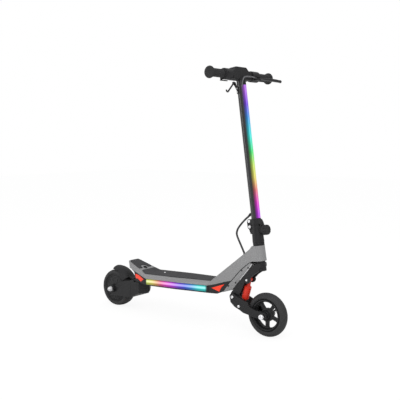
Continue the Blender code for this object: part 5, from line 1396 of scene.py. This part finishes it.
def build_shock():
    """Barrel with an adjusting collar, rod with its foot, and the spring in the barrel. Heights are
    measured down from the upper bolt."""
    down = (SHOCK_FOOT - SHOCK_TOP).normalized()
    lean = Matrix((LEFT.cross(down), LEFT, down)).transposed().to_4x4()
    base = Matrix.Translation(SHOCK_TOP) @ lean
    foot = (SHOCK_FOOT - SHOCK_TOP).length / MM
    corners = [
        (0.05, 6.0), (7.5, 6.0), (7.5, 22.0), (10.0, 26.5), (14.0, 29.5), (14.0, 33.0), (13.2, 33.4),
        (13.2, 34.8), (14.0, 35.2), (14.0, 72.0), (13.3, 72.4), (13.3, 73.4), (14.0, 73.8), (14.0, 76.5),
        (13.0, 79.0), (11.5, 79.0), (11.5, 40.0), (0.05, 40.0),
    ]
    barrel = spun(np.array(corners) * MM, 72, base)
    top = turned(tube_outline(3.3, 8.5, 8.0, 1.0), 48, base @ across((0.0, 0.0, 0.0)))
    make("shock_barrel_turned", [barrel, top], "shock_barrel", sharp=35.0)
    corners = [
        (0.05, 58.0), (4.8, 58.0), (4.8, 75.5), (11.0, 75.5), (11.0, 78.5), (5.0, 80.0), (5.0, foot - 12.0),
        (7.5, foot - 9.0), (7.5, foot - 4.0), (0.05, foot - 4.0),
    ]
    bottom = turned(tube_outline(4.7, 7.8, 9.0, 1.0), 48, base @ across((0.0, 0.0, foot * MM)))
    rod = [spun(np.array(corners) * MM, 48, base), bottom]
    make("shock_rod_turned", rod, "shock_rod", sharp=35.0)
    turn = np.linspace(0.0, 2.0 * pi * COIL_TURNS, 40 * COIL_TURNS + 1)
    height = COIL_START + COIL_LENGTH * turn / turn[-1]
    coil = np.stack([COIL_R * np.cos(turn), COIL_R * np.sin(turn), height], axis=-1)
    wound = make("shock_spring_wound", [tube_along(placed(coil * MM, base), 1.2 * MM, 12)], "shock_spring")
    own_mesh(wound)


# Folding hook, in the side view of the steering frame and in mm: its pivot and the end of its shank
HOOK_PIVOT, SHANK_END = (-33.5, 953.0), (-60.8, 929.0)
# Screws of the hook's bracket: radius of the bracket, their angle from behind, and their heights
BRACKET_R, SCREW_ANGLE, SCREW_HEIGHTS = 19.6 * MM, 62.0, (0.9140, 0.9280)


def build_hook():
    """J-shaped hook of round wire with an eye, and the bracket's small bolts."""
    pivot, end = np.array(HOOK_PIVOT), np.array(SHANK_END)
    shank = pivot + (end - pivot) * np.linspace(0.14, 1.0, 12)[:, None]
    bend = np.radians(np.linspace(-30.0, -165.0, 12))
    curve = end + (-4.0, 2.2) + 4.8 * np.stack([np.cos(bend), np.sin(bend)], axis=-1)
    tip = curve[-1] + np.array((-1.4, 6.0)) * np.linspace(0.2, 1.0, 8)[:, None]
    side = smooth_line(np.vstack([shank, curve, tip]), 70) * MM
    radius = HOOK_WIRE_R * np.sqrt(np.clip(1.0 - np.linspace(-12.0, 0.98, 70).clip(0.0) ** 2, 0.0, 1.0))
    path = placed(np.stack([side[:, 0], np.zeros(len(side)), side[:, 1]], axis=-1), STEERING)
    eye = across((pivot[0] * MM, 0.0, pivot[1] * MM))
    ring = turned(tube_outline(2.2, 5.2, 3.4, 0.6), 48, STEERING @ eye)
    make("fold_hook_wire", [tube_along(path, radius, 24), ring], "fold_hook", sharp=40.0)
    screws = []
    for _, sign in SIDES:
        angle = radians(180.0 + sign * SCREW_ANGLE)
        for t in SCREW_HEIGHTS:
            face = STEERING @ Vector((BRACKET_R * cos(angle), BRACKET_R * sin(angle), t))
            out = STEERING.to_3x3() @ Vector((cos(angle), sin(angle), 0.0))
            screws.append(rod_between(face - out * MM, face + out * 1.3 * MM, 2.1 * MM))
    make("hook_bracket_screws", screws, body="stem", slot="bright_steel")


# Brake lever: its pivot in the steering frame, how far it leans, and, from the pivot to the tip and in
# mm, its place across and along the bar, its half width and its half thickness
LEVER_PIVOT, LEVER_LEAN = (0.0210, 0.0800, 0.9640), radians(-6.0)
LEVER_SPINE = np.array((
    (1.8, 4.0, 5.4, 3.4), (4.5, 11.0, 5.4, 3.4), (10.0, 22.0, 5.2, 3.9), (18.5, 42.0, 4.8, 5.0),
    (25.0, 65.0, 4.6, 5.4), (30.0, 87.0, 4.6, 5.3), (33.0, 104.0, 4.4, 4.8),
)) * MM
LEVER_BALL, BALL_R = (0.0335, 0.1065, 0.0), 6.0 * MM


def build_brake_lever():
    """Blade swept along its spine, its section |cos|^0.6 by |sin|^0.6, with an eye and a ball end."""
    seat = STEERING @ Matrix.Translation(LEVER_PIVOT) @ Matrix.Rotation(LEVER_LEAN, 4, "X")
    line = smooth_line(LEVER_SPINE, 60)
    along = np.gradient(line[:, :2], axis=0)
    along /= np.linalg.norm(along, axis=1, keepdims=True)
    turn = np.linspace(0.0, 2.0 * pi, 32, endpoint=False)
    wide, high = line[:, 2:3] * blunt(np.cos(turn), 0.6), line[:, 3:4] * blunt(np.sin(turn), 0.6)
    x = line[:, 0:1] + along[:, 1:2] * wide
    y = line[:, 1:2] - along[:, 0:1] * wide
    blade = closed_tube(placed(np.stack([x, y, high], axis=-1), seat))
    ring = turned(tube_outline(2.9, 5.6, 3.4, 0.5), 48, seat)
    around = np.linspace(-pi / 2.0 + 0.02, pi / 2.0 - 0.02, 24)
    ball = BALL_R * np.stack([np.cos(around), np.sin(around)], axis=-1)
    knob = spun(ball, 40, seat @ Matrix.Translation(LEVER_BALL))
    make("brake_lever_blade", [blade, ring, knob], "brake_lever")


# Lower end of the headset's cup along the steering axis, and the charge socket's place on the flank of
# the neck, which turns inward by an angle
CUP_LOW = 0.3416
SOCKET_X, FLANK_TURN = 0.1650, radians(-5.8)


def build_small_turned():
    """Headset cup above the head tube, and the charge socket's cap."""
    corners = np.array([
        (14.3, 0.0), (21.2, 0.0), (21.8, 3.2), (20.6, 3.9), (20.6, 4.9), (21.8, 5.6), (21.2, 11.2),
        (14.3, 11.2),
    ])
    cup = rounded(corners * MM, 0.5 * MM) + (0.0, CUP_LOW)
    make("headset_cup_turned", [turned(cup, 96, STEERING)], "headset_cup")
    box_low, box_high = [Vector(corner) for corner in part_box("charge_port")]
    centre = (box_low + box_high) / 2.0
    centre.y = half_width(SOCKET_X)
    seat = Matrix.Translation(centre) @ Matrix.Rotation(FLANK_TURN, 4, "Z") @ across((0.0, 0.0, 0.0))
    outline = np.array([
        (0.05, -10.0), (6.0, -10.0), (6.0, 0.5), (8.2, 0.5), (8.5, 0.9), (8.5, 1.9), (7.4, 2.6), (5.6, 2.6),
        (5.2, 2.0), (1.4, 2.0), (1.0, 2.4), (0.05, 2.4),
    ]) * MM
    make("charge_port_cap", [spun(outline, 64, seat)], "charge_port", sharp=35.0)


# The add-on


class PieceOperator:
    """What all the operators of the add-on share."""

    bl_options = {"REGISTER", "UNDO"}


class SCOOTER_OT_stage(PieceOperator, Operator):
    """Make the floor, the surround, the lamps and the camera"""

    bl_idname = "scooter.stage"
    bl_label = "Stage"

    def execute(self, context):
        build_stage()
        return {"FINISHED"}


class SCOOTER_OT_cables(PieceOperator, Operator):
    """Make the main cable and the brake cable"""

    bl_idname = "scooter.cables"
    bl_label = "Cables"

    def execute(self, context):
        build_cables()
        return {"FINISHED"}


class SCOOTER_OT_node_finishes(PieceOperator, Operator):
    """Give every CAD node the finish of its slot"""

    bl_idname = "scooter.node_finishes"
    bl_label = "Node finishes"

    def execute(self, context):
        dress_nodes()
        return {"FINISHED"}


class SCOOTER_OT_soft_edges(PieceOperator, Operator):
    """Copy the cast and moulded nodes with rounded edges"""

    bl_idname = "scooter.soft_edges"
    bl_label = "Soft edges"

    def execute(self, context):
        build_soft_edges()
        return {"FINISHED"}


class SCOOTER_OT_tyres(PieceOperator, Operator):
    """Make both tyres with their grooves"""

    bl_idname = "scooter.tyres"
    bl_label = "Tyres"

    def execute(self, context):
        build_tyres()
        return {"FINISHED"}


class SCOOTER_OT_front_wheel(PieceOperator, Operator):
    """Make the front rim, its hub and its bearings"""

    bl_idname = "scooter.front_wheel"
    bl_label = "Front wheel"

    def execute(self, context):
        build_front_wheel()
        return {"FINISHED"}


class SCOOTER_OT_motor_hub(PieceOperator, Operator):
    """Make the hub motor's shell"""

    bl_idname = "scooter.motor_hub"
    bl_label = "Motor hub"

    def execute(self, context):
        build_motor_hub()
        return {"FINISHED"}


class SCOOTER_OT_axles(PieceOperator, Operator):
    """Make both axles and their nuts"""

    bl_idname = "scooter.axles"
    bl_label = "Axles"

    def execute(self, context):
        build_axles()
        return {"FINISHED"}


class SCOOTER_OT_bolts(PieceOperator, Operator):
    """Make the through bolts, the neck's screws, and the bead and rod that paint the seam's shade and the cover
    edge's highlight
    """

    bl_idname = "scooter.bolts"
    bl_label = "Bolts"

    def execute(self, context):
        build_bolts()
        return {"FINISHED"}


class SCOOTER_OT_mats(PieceOperator, Operator):
    """Make the ribbed mats, the deck's screw and the rim of the hook's socket"""

    bl_idname = "scooter.mats"
    bl_label = "Mats"

    def execute(self, context):
        build_mats()
        return {"FINISHED"}


class SCOOTER_OT_light_bars(PieceOperator, Operator):
    """Make the light bars in the rails"""

    bl_idname = "scooter.light_bars"
    bl_label = "Light bars"

    def execute(self, context):
        build_light_bars()
        return {"FINISHED"}


class SCOOTER_OT_stem(PieceOperator, Operator):
    """Make the stem tube and its light"""

    bl_idname = "scooter.stem"
    bl_label = "Stem"

    def execute(self, context):
        build_stem()
        return {"FINISHED"}


class SCOOTER_OT_grips(PieceOperator, Operator):
    """Make the handlebar and its grips"""

    bl_idname = "scooter.grips"
    bl_label = "Grips"

    def execute(self, context):
        build_grips()
        return {"FINISHED"}


class SCOOTER_OT_knob(PieceOperator, Operator):
    """Make the clamp's hand knob"""

    bl_idname = "scooter.knob"
    bl_label = "Knob"

    def execute(self, context):
        build_knob()
        return {"FINISHED"}


class SCOOTER_OT_shock(PieceOperator, Operator):
    """Make the shock absorber and its spring"""

    bl_idname = "scooter.shock"
    bl_label = "Shock absorber"

    def execute(self, context):
        build_shock()
        return {"FINISHED"}


class SCOOTER_OT_hook(PieceOperator, Operator):
    """Make the folding hook"""

    bl_idname = "scooter.hook"
    bl_label = "Hook"

    def execute(self, context):
        build_hook()
        return {"FINISHED"}


class SCOOTER_OT_brake_lever(PieceOperator, Operator):
    """Make the brake lever's blade"""

    bl_idname = "scooter.brake_lever"
    bl_label = "Brake lever"

    def execute(self, context):
        build_brake_lever()
        return {"FINISHED"}


class SCOOTER_OT_small_turned(PieceOperator, Operator):
    """Make the headset cup and the charge socket's cap"""

    bl_idname = "scooter.small_turned"
    bl_label = "Cup and cap"

    def execute(self, context):
        build_small_turned()
        return {"FINISHED"}


OPERATORS = (
    SCOOTER_OT_stage, SCOOTER_OT_cables, SCOOTER_OT_node_finishes, SCOOTER_OT_soft_edges, SCOOTER_OT_tyres,
    SCOOTER_OT_front_wheel, SCOOTER_OT_motor_hub, SCOOTER_OT_axles, SCOOTER_OT_bolts, SCOOTER_OT_mats,
    SCOOTER_OT_light_bars, SCOOTER_OT_stem, SCOOTER_OT_grips, SCOOTER_OT_knob, SCOOTER_OT_shock,
    SCOOTER_OT_hook, SCOOTER_OT_brake_lever, SCOOTER_OT_small_turned,
)


class SCOOTER_PT_pieces(Panel):
    """Lists the pieces in the 3D view's sidebar"""

    bl_idname = "SCOOTER_PT_pieces"
    bl_label = "Scooter"
    bl_space_type = "VIEW_3D"
    bl_region_type = "UI"
    bl_category = "Scooter"

    def draw(self, context):
        for name in ScooterSettings.__annotations__:
            self.layout.prop(context.scene.scooter, name)
        for operator in OPERATORS:
            self.layout.operator(operator.bl_idname)


CLASSES = (ScooterSettings, *OPERATORS, SCOOTER_PT_pieces)


def register():
    for cls in CLASSES:
        bpy.utils.register_class(cls)
    bpy.types.Scene.scooter = PointerProperty(type=ScooterSettings)


def unregister():
    del bpy.types.Scene.scooter
    for cls in reversed(CLASSES):
        bpy.utils.unregister_class(cls)


def main():
    register()
    for operator in OPERATORS:
        group, name = operator.bl_idname.split(".")
        getattr(getattr(bpy.ops, group), name)()


if __name__ == "__main__":
    main()
